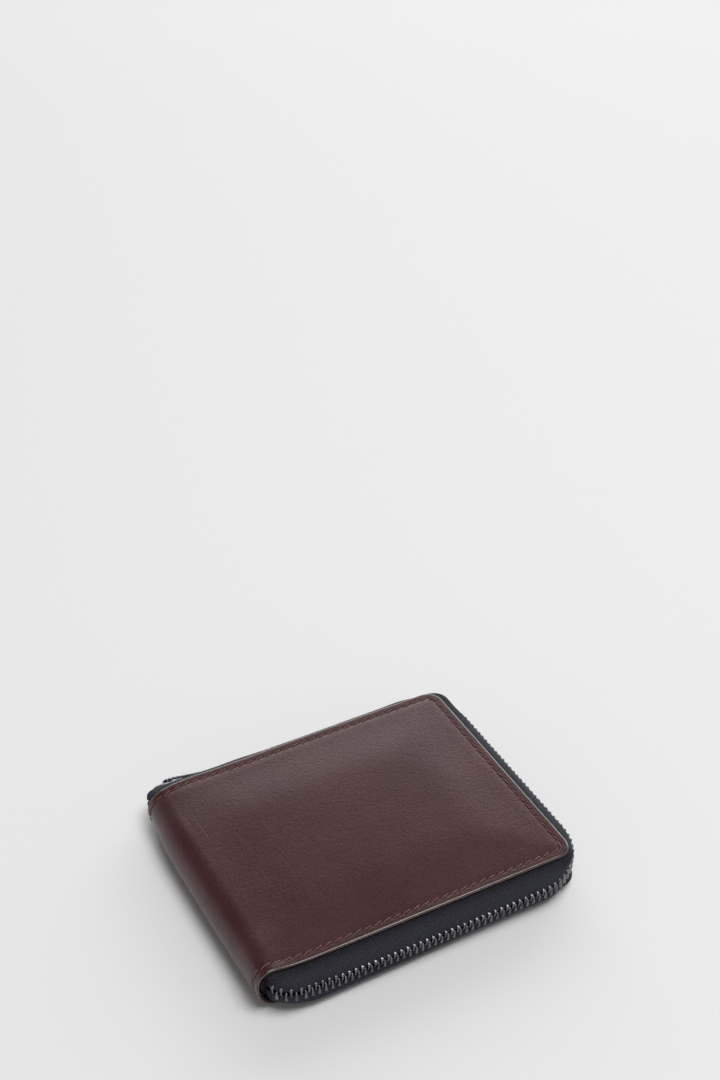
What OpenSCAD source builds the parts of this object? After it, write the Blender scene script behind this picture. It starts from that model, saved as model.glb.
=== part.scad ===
// Zip around wallet: two padded leather covers joined by a rounded spine, closed on three sides by a metal
// zip. The lower cover lies on the table. X runs from the spine to the fore edge, Y from the foot edge to the
// head edge, Z up. The origin is the centre of the lower cover's flat underside. Sizes are in millimetres.

/* [Covers] */
// Length of a cover, from the outermost line of the spine to the fore edge
cover_w = 120; // [110:1:140]
// Height of a cover, along the spine
cover_h = 96; // [88:1:110]
// Thickness of the closed wallet over its sewn edges
edge_t = 15.6; // [15:0.2:18]
// How far the padded panel of a cover stands proud of its sewn edge
crown = 0.8; // [0.5:0.1:1.1]
// Radius of the two fore corners of a cover
corner_r = 6; // [4:0.5:9]
// Width of the flat sewn border round the padded panel
border_w = 4.2; // [3.5:0.1:6]
// Thickness of the outer leather
leather_t = 1.3; // [1.2:0.1:1.5]
// Thickness of the core board, which shares its layer with the sewn edge of the zip tape
core_t = 0.8; // [0.7:0.1:1]
// Thickness of the lining
lining_t = 0.4; // [0.3:0.1:0.6]
// How far the lining stays inside the leather's edge
lining_inset = 2; // [1.5:0.1:3]
// Gap at each fold line of the spine
fold_gap = 0.3; // [0.2:0.05:0.5]

/* [Zip] */
// How far the middle of the zip tape stands out past the edge of the covers
zip_reach = 4.8; // [4:0.1:6]
// Radius of the zip's line round the two fore corners
zip_corner_r = 19; // [17:0.5:21]
// Thickness of the zip tape
tape_t = 0.6; // [0.4:0.1:0.6]
// Width of the tape's sewn edge, measured in from the edge of the leather
tape_sewn_w = 5.5; // [5:0.1:7]
// Spacing of the teeth in one row
tooth_pitch = 2.4; // [2.2:0.1:2.8]
// Length of one tooth along the zip
tooth_len = 1.2; // [1:0.05:1.3]
// Thickness of one tooth across the tape
tooth_t = 2.1; // [1.8:0.1:2.3]
// Half of the width of the closed row of teeth
chain_half = 2.7; // [2.4:0.1:2.9]
// Clear channel between the two rows, where the slider's post runs
chain_gap = 0.5; // [0.5:0.05:0.8]
// Where the tape's edge sits in a tooth, measured from the middle of the zip
tape_edge = 1; // [0.9:0.05:1.3]
// Distance from the spine to where the zip turns in at the foot end
foot_turn_x = 13.5; // [13:0.5:18]
// Radius of that turn
foot_turn_r = 7.5; // [7.2:0.1:8]
// Angle of that turn
foot_turn = 84; // [60:1:86]
// Distance from the spine to where the zip turns in at the head end
head_turn_x = 6; // [5.5:0.1:6]
// Radius of that turn
head_turn_r = 3; // [2.8:0.1:3.2]
// Angle of that turn
head_turn = 70; // [50:1:75]
// Length of a stop along the zip
stop_len = 2; // [1.6:0.1:2.4]

/* [Slider and pull] */
// Distance from the spine to the slider's nose when the wallet is shut
slider_x = 6.5; // [6.5:0.1:9]
// Length of the slider
slider_len = 11; // [10:0.5:13]
// Distance from the slider's nose to where its sides start to draw in
slider_shoulder = 5; // [4:0.1:5.5]
// Distance from the slider's nose to where its sides run straight again
slider_waist = 8.2; // [7.5:0.1:9]
// Half width of the slider at its nose
slider_nose = 3.8; // [3.6:0.1:4.2]
// Half width of the slider at its tail
slider_tail = 3.3; // [3.2:0.1:3.6]
// Thickness of each of the slider's two plates
slider_plate_t = 0.95; // [0.8:0.05:1.1]
// Thickness of the post that joins the two plates
post_t = 0.25; // [0.2:0.01:0.3]
// Length of that post along the zip
post_len = 3; // [2:0.5:4]
// Distance from the slider's nose to the bar that the pull turns on
bar_place = 6.6; // [5:0.1:7]
// Diameter of the bars of the pull's loop
bar_d = 1.3; // [1.1:0.1:1.5]
// Running clearance of the moving metal pieces
run_gap = 0.15; // [0.1:0.01:0.25]
// Thickness of the bridge's strap
bridge_t = 0.7; // [0.6:0.05:0.9]
// Width of the bridge
bridge_w = 2.4; // [2:0.1:3]
// Length of the loop between its two bars
loop_len = 13; // [11:0.5:15]
// Angle at which the loop hangs below level, in degrees
loop_drop = 16; // [8:1:20]
// Length of the leather tab beyond the loop's far bar
tab_len = 28; // [20:1:36]
// Width of the leather tab
tab_w = 5; // [4:0.5:7]
// Thickness of one of the tab's two layers of leather
tab_layer = 1; // [0.8:0.05:1.1]

/* [Inside] */
// Thickness of a pocket panel
panel_t = 0.5; // [0.4:0.05:0.6]
// Clear depth of the coin pocket
coin_depth = 2; // [2:0.1:2.4]
// Width of the strip that closes the coin pocket's sides
gusset_w = 2; // [1.5:0.1:3]
// Distance of the pockets from the sewn edges of the covers
pocket_inset = 8; // [7.5:0.1:10]
// Distance from the spine's outermost line to the pockets
pocket_x = 14; // [13:0.5:20]
// Distance from the head end of the pockets to the first card slot's mouth
slot_drop = 4; // [3:0.5:6]
// Step from one card slot to the next
slot_step = 11; // [9:0.5:13]
// Distance from the head edge to the middle of the coin zip
coin_zip_y = 22; // [20:0.5:26]
// Width of the slit that the coin zip closes
coin_slit = 9; // [8:0.5:10]
// How far the coin zip's tapes run on under the panels beside the slit
coin_lap = 3; // [2:0.5:4]
// Distance of the coin zip's ends from the strip that closes the pocket's sides
coin_margin = 2; // [1:0.5:4]
// Spacing of the coin zip's teeth
coin_pitch = 2; // [1.9:0.1:2.4]
// Length of one coin zip tooth along the zip
coin_tooth_len = 1; // [0.9:0.05:1.1]
// Half of the width of the coin zip's closed row of teeth
coin_half = 2; // [1.8:0.1:2.2]
// Clear channel between the coin zip's two rows
coin_gap = 0.5; // [0.5:0.05:0.8]
// Where the coin zip's tape sits in a tooth, measured from the middle of the zip
coin_tape_edge = 1; // [0.9:0.05:1.2]
// Thickness of one coin zip tooth across the tape
coin_tooth_t = 1.6; // [1.4:0.05:1.7]
// Distance from the end of the coin zip to its slider
coin_slider_x = 3; // [2:0.5:6]
// Length of the coin slider
coin_slider_len = 8; // [7:0.5:10]
// Half width of the coin slider
coin_slider_half = 2.9; // [2.7:0.1:3.2]
// Thickness of each of the coin slider's plates
coin_plate_t = 0.6; // [0.5:0.05:0.7]
// Distance from the coin slider's nose to the square post that carries its pull
coin_post_x = 4; // [3:0.5:4.5]
// Width of that post
coin_post_w = 2; // [1.6:0.1:2.4]
// Thickness of the coin slider's pull
coin_pull_t = 0.8; // [0.6:0.05:0.9]
// Width of the coin slider's pull
coin_pull_w = 4; // [3.5:0.1:5]
// Length of the coin slider's pull
coin_pull_len = 16; // [12:1:20]

/* [Hidden] */
$fn = 64;
fit = 0.03;
cut = 1;
half_t = edge_t / 2;
z_mid = crown + half_t;
spine_x = -cover_w / 2;
fore_x = cover_w / 2;
foot_y = -cover_h / 2;
head_y = cover_h / 2;

// The spine is a half round of the wallet's own thickness, folded at 45 degrees above and below its middle
bend_r = half_t;
bend_x = spine_x + bend_r;
fold_angle = 45;
fold_clear = fold_gap / bend_r * 180 / PI / 2;

// Layers of a cover, as distances from the middle of the wallet
leather_in = half_t - leather_t;
core_in = leather_in - core_t;
lining_in = core_in - lining_t;
core_clear = 0.5;
core_edge = tape_sewn_w + core_clear;

// The zip's line in plan
zip_foot_y = foot_y - zip_reach;
zip_head_y = head_y + zip_reach;
zip_fore_x = fore_x + zip_reach;
foot_turn_at = spine_x + foot_turn_x;
head_turn_at = spine_x + head_turn_x;
corner_x = zip_fore_x - zip_corner_r;
corner_foot_y = zip_foot_y + zip_corner_r;
corner_head_y = zip_head_y - zip_corner_r;

// Lengths of the stretches of that line, from the start of the straight foot edge
foot_run = corner_x - foot_turn_at;
corner_run = zip_corner_r * PI / 2;
fore_run = corner_head_y - corner_foot_y;
head_run = corner_x - head_turn_at;
s_fore = foot_run + corner_run;
s_second = s_fore + fore_run;
s_head = s_second + corner_run;
turn_run = foot_turn_r * foot_turn * PI / 180;

// The tape bulges out from under the leather to the teeth, as a quarter of an ellipse
tape_tuck = 1;
tape_flat = leather_in - tape_t / 2;
bulge_out = zip_reach + tape_tuck;
bulge_up = tape_flat - chain_half;
bulge_steps = 10;

// Steps of the bulge that still clear the centre of the tight turn at the head end
turn_core = 0.5;
head_turn_steps = floor(bulge_steps * acos(1 - (head_turn_r - turn_core) / bulge_out) / 90);

// Rows of teeth, from just past the bottom stop to the top stops inside the slider
stop_inset = 2;
stop_space = 1;
stop_at = slider_x + stop_inset;
row_start = stop_len + stop_space - turn_run;
row_end = s_head + corner_x - (spine_x + stop_at + stop_len + tooth_len);
row_count = floor((row_end - row_start) / tooth_pitch - 0.5);

// Slider and pull, placed from the zip's line at the head edge
channel = tooth_t / 2 + run_gap;
plate_out = channel + slider_plate_t;
slider_at = spine_x + slider_x;
nose_cut = 1.5;
tail_cut = 0.5;
bar_r = bar_d / 2;
bar_x = slider_at + bar_place;
tunnel_r = bridge_w / 2 * tan(loop_drop) + bar_r / cos(loop_drop) + run_gap;
strap_r = tunnel_r + bridge_t;
bar_n = plate_out + tunnel_r;
arm_rim = 0.1;
arm_t = bar_d - 2 * arm_rim;
arm_r = bar_r + arm_rim;
eye_r = bar_r / cos(loop_drop) + fit;
eye_slack = tab_w / 2 * tan(loop_drop);
fold_r = eye_r + tab_layer;
near_half = (strap_r + run_gap) * sin(loop_drop) + (bridge_w / 2 + run_gap) * cos(loop_drop) + arm_r;
far_half = (fold_r + eye_slack) * sin(loop_drop) + (tab_w / 2 + run_gap) * cos(loop_drop) + arm_r;

// Pockets
pocket_left = spine_x + pocket_x;
pocket_right = fore_x - pocket_inset;
pocket_foot = foot_y + pocket_inset;
pocket_head = head_y - pocket_inset;
pocket_span = pocket_right - pocket_left;
coin_floor = lining_in - panel_t;
coin_front_in = coin_floor - coin_depth;
coin_tape = coin_front_in + panel_t / 2;
coin_y = head_y - coin_zip_y;
coin_left = pocket_left + gusset_w + coin_margin;
coin_right = pocket_right - gusset_w - coin_margin;
coin_row = floor((coin_right - coin_left - 2 * coin_tooth_len) / coin_pitch - 0.5);
coin_channel = coin_tooth_t / 2 + run_gap;
coin_slider_at = coin_left + coin_slider_x;
coin_front = coin_tape - coin_channel;
coin_face = coin_front - coin_plate_t;

leather_brown = "#4c3031";
lining_brown = "#3a2526";
tape_black = "#25252b";
tooth_grey = "#6a6a70";
slider_grey = "#3c3c42";

// Placing a half: shapes are drawn from the middle plane outwards, then set above it or below it
module above() { translate([0, 0, z_mid]) children(); }
module below() { translate([0, 0, z_mid]) mirror([0, 0, 1]) children(); }

// Outline of a cover from x0 to the fore edge, drawn in by an inset, with fore corners of a radius
module cover_outline(x0, inset, r) {
  x1 = fore_x - inset;
  y0 = foot_y + inset;
  y1 = head_y - inset;
  translate([x0, y0]) square([x1 - r - x0, y1 - y0]);
  translate([x1 - 2 * r, y0 + r]) square([2 * r, y1 - y0 - 2 * r]);
  for (y = [y0 + r, y1 - r]) translate([x1 - r, y]) circle(r);
}

// Flat layer of a cover between two distances from the middle plane
module layer(z0, z1, x0, inset, r) {
  translate([0, 0, z0]) linear_extrude(z1 - z0) cover_outline(x0, inset, r);
}

// Layers of the leather and its padding keep the cover's own corners, and the inner layers follow the zip's
function leather_corner(inset) = max(corner_r - inset, 1);
function inner_corner(inset) = zip_corner_r - zip_reach - inset;

// Part of the spine's half round between two radii and two angles, drawn in at the foot and head by an inset
module bend(r0, r1, from, to, inset) {
  translate([bend_x, head_y - inset, 0]) rotate([90, 0, 0]) rotate([0, 0, from])
    rotate_extrude(angle = to - from) translate([r0, 0]) square([r1 - r0, cover_h - 2 * inset]);
}

// The stretch of the spine's half round that stays with a cover, as far as the fold line
module cover_bend(r0, r1, inset) { bend(r0, r1, 90, 90 + fold_angle - fold_clear, inset); }

// The stretch between the two fold lines
module spine_bend(r0, r1, inset) {
  translate([0, 0, z_mid])
    bend(r0, r1, 90 + fold_angle + fold_clear, 270 - fold_angle - fold_clear, inset);
}

// Outer leather of a cover: a flat sewn border, a panel pressed out by the padding, and its part of the bend
module cover_leather() {
  lap = 1;
  difference() {
    layer(leather_in, half_t, bend_x, 0, corner_r);
    layer(leather_in - cut, half_t + cut, bend_x + border_w, border_w, leather_corner(border_w));
  }
  layer(leather_in + crown, half_t + crown, bend_x + border_w - lap, border_w - lap,
    leather_corner(border_w - lap));
  cover_bend(leather_in, half_t, 0);
}
module lower_cover_leather() { color(leather_brown) below() cover_leather(); }
module upper_cover_leather() { color(leather_brown) above() cover_leather(); }
module spine_leather() { color(leather_brown) spine_bend(leather_in, half_t, 0); }

// Foam between the leather's padded panel and the core board
module cover_padding() {
  layer(leather_in, leather_in + crown, bend_x + border_w, border_w, leather_corner(border_w));
}
module lower_cover_padding() { color("tan") below() cover_padding(); }
module upper_cover_padding() { color("tan") above() cover_padding(); }

// Core board inside the sewn edge of the zip tape, carried on round the bend
module cover_core() {
  layer(core_in, leather_in, bend_x, core_edge, inner_corner(core_edge));
  cover_bend(core_in, leather_in, core_edge);
}
module lower_cover_core() { color("burlywood") below() cover_core(); }
module upper_cover_core() { color("burlywood") above() cover_core(); }
module spine_core() { color("burlywood") spine_bend(core_in, leather_in, core_edge); }

// Lining over the board and the tape's sewn edge
module cover_lining() {
  layer(lining_in, core_in, bend_x, lining_inset, inner_corner(lining_inset));
  cover_bend(lining_in, core_in, lining_inset);
}
module lower_lining() { color(lining_brown) below() cover_lining(); }
module upper_lining() { color(lining_brown) above() cover_lining(); }
module spine_lining() { color(lining_brown) spine_bend(lining_in, core_in, lining_inset); }

// A point of the tape's bulge: [distance out from the zip's line, height], a side of the tape at a time
function bulge_point(a, side) =
  let (along = [bulge_up * cos(a), bulge_out * sin(a)])
  [bulge_out * (cos(a) - 1), chain_half + bulge_up * sin(a)] + side * tape_t / 2 * along / norm(along);

// Section of the tape from its toothed edge round some steps of the bulge, then flat to its sewn edge
module tape_section(steps, sewn) {
  angles = [for (i = [0 : steps]) 90 * i / bulge_steps];
  inner_n = -zip_reach - tape_sewn_w;
  polygon(concat(
    [[tape_t / 2, tape_edge + fit]],
    [for (a = angles) bulge_point(a, 1)],
    sewn ? [[inner_n, leather_in], [inner_n, leather_in - tape_t]] : [],
    [for (i = [steps : -1 : 0]) bulge_point(angles[i], -1)],
    [[-tape_t / 2, tape_edge + fit]]
  ));
}
module tape_run(length) { rotate([90, 0, 0]) linear_extrude(length) tape_section(bulge_steps, true); }
module tape_turn(r, angle, steps, sewn) {
  rotate_extrude(angle = angle) translate([r, 0]) tape_section(steps, sewn);
}

// Tape of one row: foot turn, foot edge, fore corner, fore edge, fore corner, head edge, head turn
module zip_tape() {
  translate([foot_turn_at, zip_foot_y + foot_turn_r, 0]) mirror([1, 0, 0]) rotate([0, 0, -90])
    tape_turn(foot_turn_r, foot_turn, bulge_steps, false);
  translate([corner_x, zip_foot_y, 0]) rotate([0, 0, -90]) tape_run(foot_run);
  translate([corner_x, corner_foot_y, 0]) rotate([0, 0, -90]) tape_turn(zip_corner_r, 90, bulge_steps, true);
  translate([zip_fore_x, corner_head_y, 0]) tape_run(fore_run);
  translate([corner_x, corner_head_y, 0]) tape_turn(zip_corner_r, 90, bulge_steps, true);
  translate([head_turn_at, zip_head_y, 0]) rotate([0, 0, 90]) tape_run(head_run);
  translate([head_turn_at, zip_head_y - head_turn_r, 0]) rotate([0, 0, 90])
    tape_turn(head_turn_r, head_turn, head_turn_steps, false);
}
module lower_zip_tape() { color(tape_black) below() zip_tape(); }
module upper_zip_tape() { color(tape_black) above() zip_tape(); }

// A place on the zip's line: [x, y, direction of the outward side], by the distance along the line
function zip_place(s) =
  s < 0 ? turned(foot_turn_at, zip_foot_y + foot_turn_r, foot_turn_r, -90 + s / foot_turn_r * 180 / PI)
  : s < foot_run ? [foot_turn_at + s, zip_foot_y, -90]
  : s < s_fore ? turned(corner_x, corner_foot_y, zip_corner_r, -90 + 90 * (s - foot_run) / corner_run)
  : s < s_second ? [zip_fore_x, corner_foot_y + s - s_fore, 0]
  : s < s_head ? turned(corner_x, corner_head_y, zip_corner_r, 90 * (s - s_second) / corner_run)
  : [corner_x - (s - s_head), zip_head_y, 90];
function turned(x, y, r, a) = [x + r * cos(a), y + r * sin(a), a];

// A metal clamp on the tape's edge, as long as stated, with a slot eased for the tightest turn of the tape
module clamp(len) {
  slot = tape_t / 2 + fit + len * len / (8 * foot_turn_r);
  out = tooth_t / 2;
  rotate([90, 0, 0]) linear_extrude(len, center = true) polygon([
    [-out, chain_gap / 2], [out, chain_gap / 2], [out, chain_half], [slot, chain_half],
    [slot, tape_edge], [-slot, tape_edge], [-slot, chain_half], [-out, chain_half]
  ]);
}
module clamp_at(s, len) {
  place = zip_place(s);
  translate([place[0], place[1], 0]) rotate([0, 0, place[2]]) clamp(len);
}

// One row of teeth, each a separate clamp; the two rows stand half a pitch apart
module teeth_row(shift) {
  for (i = [0 : row_count - 1]) clamp_at(row_start + shift + i * tooth_pitch, tooth_len);
}
module lower_zip_teeth() { color(tooth_grey) below() teeth_row(0); }
module upper_zip_teeth() { color(tooth_grey) above() teeth_row(tooth_pitch / 2); }

// Stops: one on each row inside the slider's nose, and one at the foot end
module top_stop() { clamp_at(s_head + corner_x - (spine_x + stop_at + stop_len / 2), stop_len); }
module lower_top_stop() { color(tooth_grey) below() top_stop(); }
module upper_top_stop() { color(tooth_grey) above() top_stop(); }
module zip_bottom_stop() { color(tooth_grey) below() clamp_at(stop_len / 2 - turn_run, stop_len); }

// Slider: two plates with the rows between them, a post in the channel, and a lip that holds the lower row
module plate_outline(nose, tail) {
  side = [
    [0, nose - nose_cut], [nose_cut, nose], [slider_shoulder, nose],
    [slider_waist, tail], [slider_len - tail_cut, tail], [slider_len, tail - tail_cut]
  ];
  polygon(concat(side, [for (i = [len(side) - 1 : -1 : 0]) [side[i][0], -side[i][1]]]));
}
module at_slider(n) { translate([slider_at, zip_head_y + n, z_mid]) rotate([90, 0, 0]) children(); }
module slider_body() {
  row_half = chain_half + run_gap;
  lip_in = tape_t / 2 + 2 * run_gap;
  lip_len = slider_len - tail_cut - slider_shoulder;
  color(slider_grey) {
    at_slider(plate_out) linear_extrude(slider_plate_t) plate_outline(slider_nose, slider_tail);
    at_slider(-channel) linear_extrude(slider_plate_t) plate_outline(row_half, row_half);
    at_slider(channel + fit) translate([tail_cut, -post_t / 2, 0])
      cube([post_len, post_t, 2 * (channel + fit)]);
    at_slider(channel + fit) translate([slider_shoulder, -slider_tail, 0])
      cube([lip_len, slider_tail - row_half, channel + fit - lip_in]);
  }
}

// Bridge: a strap over the near bar of the pull's loop, standing on the slider's outer plate
module slider_bridge() {
  foot = bar_n - plate_out;
  color(slider_grey) translate([bar_x, zip_head_y + bar_n, z_mid - bridge_w / 2]) linear_extrude(bridge_w)
    difference() {
      union() {
        circle(strap_r);
        translate([-strap_r, -foot]) square([2 * strap_r, foot]);
      }
      circle(tunnel_r);
      translate([-tunnel_r, -foot - cut]) square([2 * tunnel_r, foot + cut]);
      translate([-2 * strap_r, -foot - 2 * strap_r]) square([4 * strap_r, 2 * strap_r]);
    }
}

// Loop: two flat arms, a longer round bar that carries the leather tab, and a short one under the bridge.
// The short bar runs right through the arms and rounds their ends, so the loop turns clear of the slider.
// It is slack under the bridge, so the loop hangs below level and the tab lies low along the zip.
module at_bar() { translate([bar_x, zip_head_y + bar_n, z_mid]) rotate([0, loop_drop, 0]) children(); }
module loop_bar(x, half) { translate([x, 0, -half]) cylinder(h = 2 * half, r = bar_r); }
module loop_arm() {
  spread = atan2(far_half - near_half, loop_len);
  rotate([90, 0, 0]) linear_extrude(arm_t, center = true) {
    translate([loop_len, far_half]) circle(arm_r);
    translate([0, near_half]) rotate(spread) translate([0, -arm_r])
      square([loop_len / cos(spread), 2 * arm_r]);
  }
}
module pull_loop() {
  color(slider_grey) at_bar() {
    loop_bar(0, near_half + arm_r);
    loop_bar(loop_len, far_half);
    loop_arm();
    mirror([0, 0, 1]) loop_arm();
  }
}

// Tab: a leather strip folded round the far bar, its two layers sewn together. It lies level, so the fold has
// a long eye that the sloping bar passes through.
module tab_fold(r, h) {
  for (side = [-1, 1]) translate([side * eye_slack, 0, -h / 2]) cylinder(h = h, r = r);
  translate([-eye_slack, -r, -h / 2]) cube([2 * eye_slack, 2 * r, h]);
}
module pull_tab() {
  tip_r = tab_w / 2;
  color(leather_brown) at_bar() translate([loop_len, 0, 0]) rotate([0, -loop_drop, 0]) difference() {
    union() {
      tab_fold(fold_r, tab_w);
      translate([0, tab_layer, 0]) rotate([90, 0, 0]) linear_extrude(2 * tab_layer) {
        translate([0, -tab_w / 2]) square([tab_len - tip_r, tab_w]);
        translate([tab_len - tip_r, 0]) circle(tip_r);
      }
    }
    tab_fold(eye_r, 2 * tab_w);
  }
}

// A flat pocket panel between two heights, from one y to another
module panel(z0, z1, y0, y1) {
  translate([pocket_left, y0, z0]) cube([pocket_span, y1 - y0, z1 - z0]);
}

// Coin pocket on the lower cover: a back, a strip all round, and a front with a zipped slit above it
module coin_pocket_back() {
  color(lining_brown) below() panel(coin_floor, lining_in, pocket_foot, pocket_head);
}
module coin_pocket_gusset() {
  color(lining_brown) below() difference() {
    panel(coin_front_in, coin_floor, pocket_foot, pocket_head);
    translate([pocket_left + gusset_w, pocket_foot + gusset_w, coin_front_in - cut])
      cube([pocket_span - 2 * gusset_w, pocket_head - pocket_foot - 2 * gusset_w, coin_depth + 2 * cut]);
  }
}
module coin_pocket_front() {
  color(leather_brown) below()
    panel(coin_front_in - panel_t, coin_front_in, pocket_foot, coin_y - coin_slit / 2);
}
module coin_pocket_facing() {
  color(leather_brown) below()
    panel(coin_front_in - panel_t, coin_front_in, coin_y + coin_slit / 2, pocket_head);
}

// Coin zip: two tapes under the edges of the slit, each with its row of teeth
module coin_side(side) { translate([0, coin_y, 0]) mirror([0, side < 0 ? 1 : 0, 0]) children(); }
module coin_tape_strip() {
  translate([coin_left, coin_tape_edge, coin_front_in])
    cube([coin_right - coin_left, coin_slit / 2 + coin_lap - coin_tape_edge, panel_t]);
}
module coin_teeth(shift) {
  out = coin_tooth_t / 2;
  slot = panel_t / 2 + fit;
  for (i = [0 : coin_row - 1])
    translate([coin_left + coin_tooth_len + shift + i * coin_pitch, 0, coin_tape])
      rotate([90, 0, 90]) linear_extrude(coin_tooth_len, center = true) polygon([
        [coin_gap / 2, -out], [coin_half, -out], [coin_half, -slot], [coin_tape_edge - fit, -slot],
        [coin_tape_edge - fit, slot], [coin_half, slot], [coin_half, out], [coin_gap / 2, out]
      ]);
}
module coin_zip_foot_tape() { color(tape_black) below() coin_side(-1) coin_tape_strip(); }
module coin_zip_head_tape() { color(tape_black) below() coin_side(1) coin_tape_strip(); }
module coin_zip_foot_teeth() { color(tooth_grey) below() coin_side(-1) coin_teeth(0); }
module coin_zip_head_teeth() { color(tooth_grey) below() coin_side(1) coin_teeth(coin_pitch / 2); }

// Coin slider: two plates, a post in the channel between the rows, and a square post for its pull
module coin_slider_body() {
  color(slider_grey) below() translate([coin_slider_at, coin_y, 0]) {
    for (z = [coin_face, coin_tape + coin_channel])
      translate([0, -coin_slider_half, z]) cube([coin_slider_len, 2 * coin_slider_half, coin_plate_t]);
    translate([tail_cut, -post_t / 2, coin_front - fit])
      cube([coin_post_w, post_t, 2 * (coin_channel + fit)]);
    translate([coin_post_x, -coin_post_w / 2, coin_face - coin_pull_t])
      cube([coin_post_w, coin_post_w, coin_pull_t + fit]);
  }
}

// Its pull: a flat plate with round ends and a square hole that fits the post
module coin_slider_pull() {
  reach = coin_pull_len - coin_pull_w;
  color(slider_grey) below()
    translate([coin_slider_at + coin_post_x + coin_post_w / 2, coin_y, coin_face - coin_pull_t])
    linear_extrude(coin_pull_t) difference() {
      union() {
        for (x = [0, reach]) translate([x, 0]) circle(coin_pull_w / 2);
        translate([0, -coin_pull_w / 2]) square([reach, coin_pull_w]);
      }
      square(coin_post_w + 2 * fit, center = true);
    }
}

// Card side on the upper cover: a slip pocket panel, and stepped card slots laid on it
module slip_pocket_panel() {
  color(lining_brown) above() panel(coin_floor, lining_in, pocket_foot, pocket_head);
}
module card_slot(i) {
  top = pocket_head - slot_drop - (i - 1) * slot_step;
  color(leather_brown) above()
    panel(coin_floor - i * panel_t, coin_floor - (i - 1) * panel_t, pocket_foot, top);
}
module card_slot_1() { card_slot(1); }
module card_slot_2() { card_slot(2); }
module card_slot_3() { card_slot(3); }
module card_slot_4() { card_slot(4); }

lower_cover_leather();
lower_cover_padding();
lower_cover_core();
lower_lining();
lower_zip_tape();
lower_zip_teeth();
lower_top_stop();
zip_bottom_stop();
coin_pocket_back();
coin_pocket_gusset();
coin_pocket_front();
coin_pocket_facing();
coin_zip_foot_tape();
coin_zip_head_tape();
coin_zip_foot_teeth();
coin_zip_head_teeth();
spine_leather();
spine_core();
spine_lining();
upper_cover_leather();
upper_cover_padding();
upper_cover_core();
upper_lining();
upper_zip_tape();
upper_zip_teeth();
upper_top_stop();
slip_pocket_panel();
card_slot_1();
card_slot_2();
card_slot_3();
card_slot_4();
slider_body();
slider_bridge();
pull_loop();
pull_tab();
coin_slider_body();
coin_slider_pull();
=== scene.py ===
# %% [markdown]
# # A zip around wallet
# The wallet is two padded leather covers joined by a rounded spine. A metal zip closes the three open
# sides. The solids of the part come in first and stay where they are. Each soft piece is then modelled over
# its solid, because leather, tape and thread need rounded edges and stitches that a plain solid doesn't
# have.

# %% The frame
import math

import bmesh
import bpy
from mathutils import Matrix, Vector, noise


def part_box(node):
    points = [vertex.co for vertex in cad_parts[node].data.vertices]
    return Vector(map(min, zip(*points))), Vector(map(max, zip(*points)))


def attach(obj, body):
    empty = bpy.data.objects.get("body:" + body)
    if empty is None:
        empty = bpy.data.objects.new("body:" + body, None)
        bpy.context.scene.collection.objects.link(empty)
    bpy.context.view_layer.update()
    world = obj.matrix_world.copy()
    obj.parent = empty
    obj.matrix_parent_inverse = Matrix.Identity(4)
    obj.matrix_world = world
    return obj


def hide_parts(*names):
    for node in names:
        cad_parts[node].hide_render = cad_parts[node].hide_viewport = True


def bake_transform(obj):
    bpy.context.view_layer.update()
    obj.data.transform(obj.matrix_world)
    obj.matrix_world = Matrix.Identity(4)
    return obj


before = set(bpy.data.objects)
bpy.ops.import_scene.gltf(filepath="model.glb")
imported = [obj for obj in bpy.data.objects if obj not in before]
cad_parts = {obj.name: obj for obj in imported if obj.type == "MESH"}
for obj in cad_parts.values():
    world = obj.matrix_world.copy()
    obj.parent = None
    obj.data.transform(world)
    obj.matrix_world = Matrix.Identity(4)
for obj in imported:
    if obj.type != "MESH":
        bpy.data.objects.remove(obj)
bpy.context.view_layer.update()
MM = 0.001

# %% [markdown]
# ## Sizes
# Every size below is in millimetres. The places come from the solids themselves, so a piece of leather
# lands on its own solid. Only what the solids don't hold, such as the depth of a stitch, is a new number.

# %% Sizes from the solids
def box_mm(node):
    low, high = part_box(node)
    return [c / MM for c in low], [c / MM for c in high]


COVER_LOW, COVER_HIGH = box_mm("upper_cover_leather")
SPINE_LOW, SPINE_HIGH = box_mm("spine_leather")
LINING_LOW, LINING_HIGH = box_mm("upper_lining")
FORE_X, HEAD_Y, FOOT_Y = COVER_HIGH[0], COVER_HIGH[1], COVER_LOW[1]
SPINE_X = SPINE_LOW[0]
MIDDLE_Z = (SPINE_LOW[2] + SPINE_HIGH[2]) / 2
CROWN = 0.8
HALF_T = MIDDLE_Z - CROWN
BEND_X = SPINE_X + HALF_T
LEATHER_T = 1.3
TAPE_T = 0.6
CORNER_R = 6.0
ZIP_REACH = box_mm("upper_zip_tape")[1][0] - TAPE_T / 2 - FORE_X
print("cover", FORE_X - SPINE_X, "x", HEAD_Y - FOOT_Y, "mm, zip reach", round(ZIP_REACH, 2))

# %% [markdown]
# ## Camera
# The photograph looks down on the foot edge from the spine's side. The place and the aim were worked out
# from the four corners of the cover and the line of the zip.

# %% Camera
CAMERA_AT = (-208.6, -391.5, 450.8)
CAMERA_AIM = (87.35, 158.02, 8.6)
CAMERA_LENS = 58.67


def millimetres(*values):
    return Vector([v * MM for v in values])


camera = bpy.data.objects.new("camera", bpy.data.cameras.new("camera"))
bpy.context.collection.objects.link(camera)
camera.location = millimetres(*CAMERA_AT)
looking = millimetres(*CAMERA_AIM) - camera.location
camera.rotation_euler = looking.to_track_quat("-Z", "Y").to_euler()
camera.data.lens = CAMERA_LENS
camera.data.sensor_width = 36.0
camera.data.clip_start = 0.01
bpy.context.scene.camera = camera
print("camera", [round(c, 4) for c in camera.location])

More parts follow.
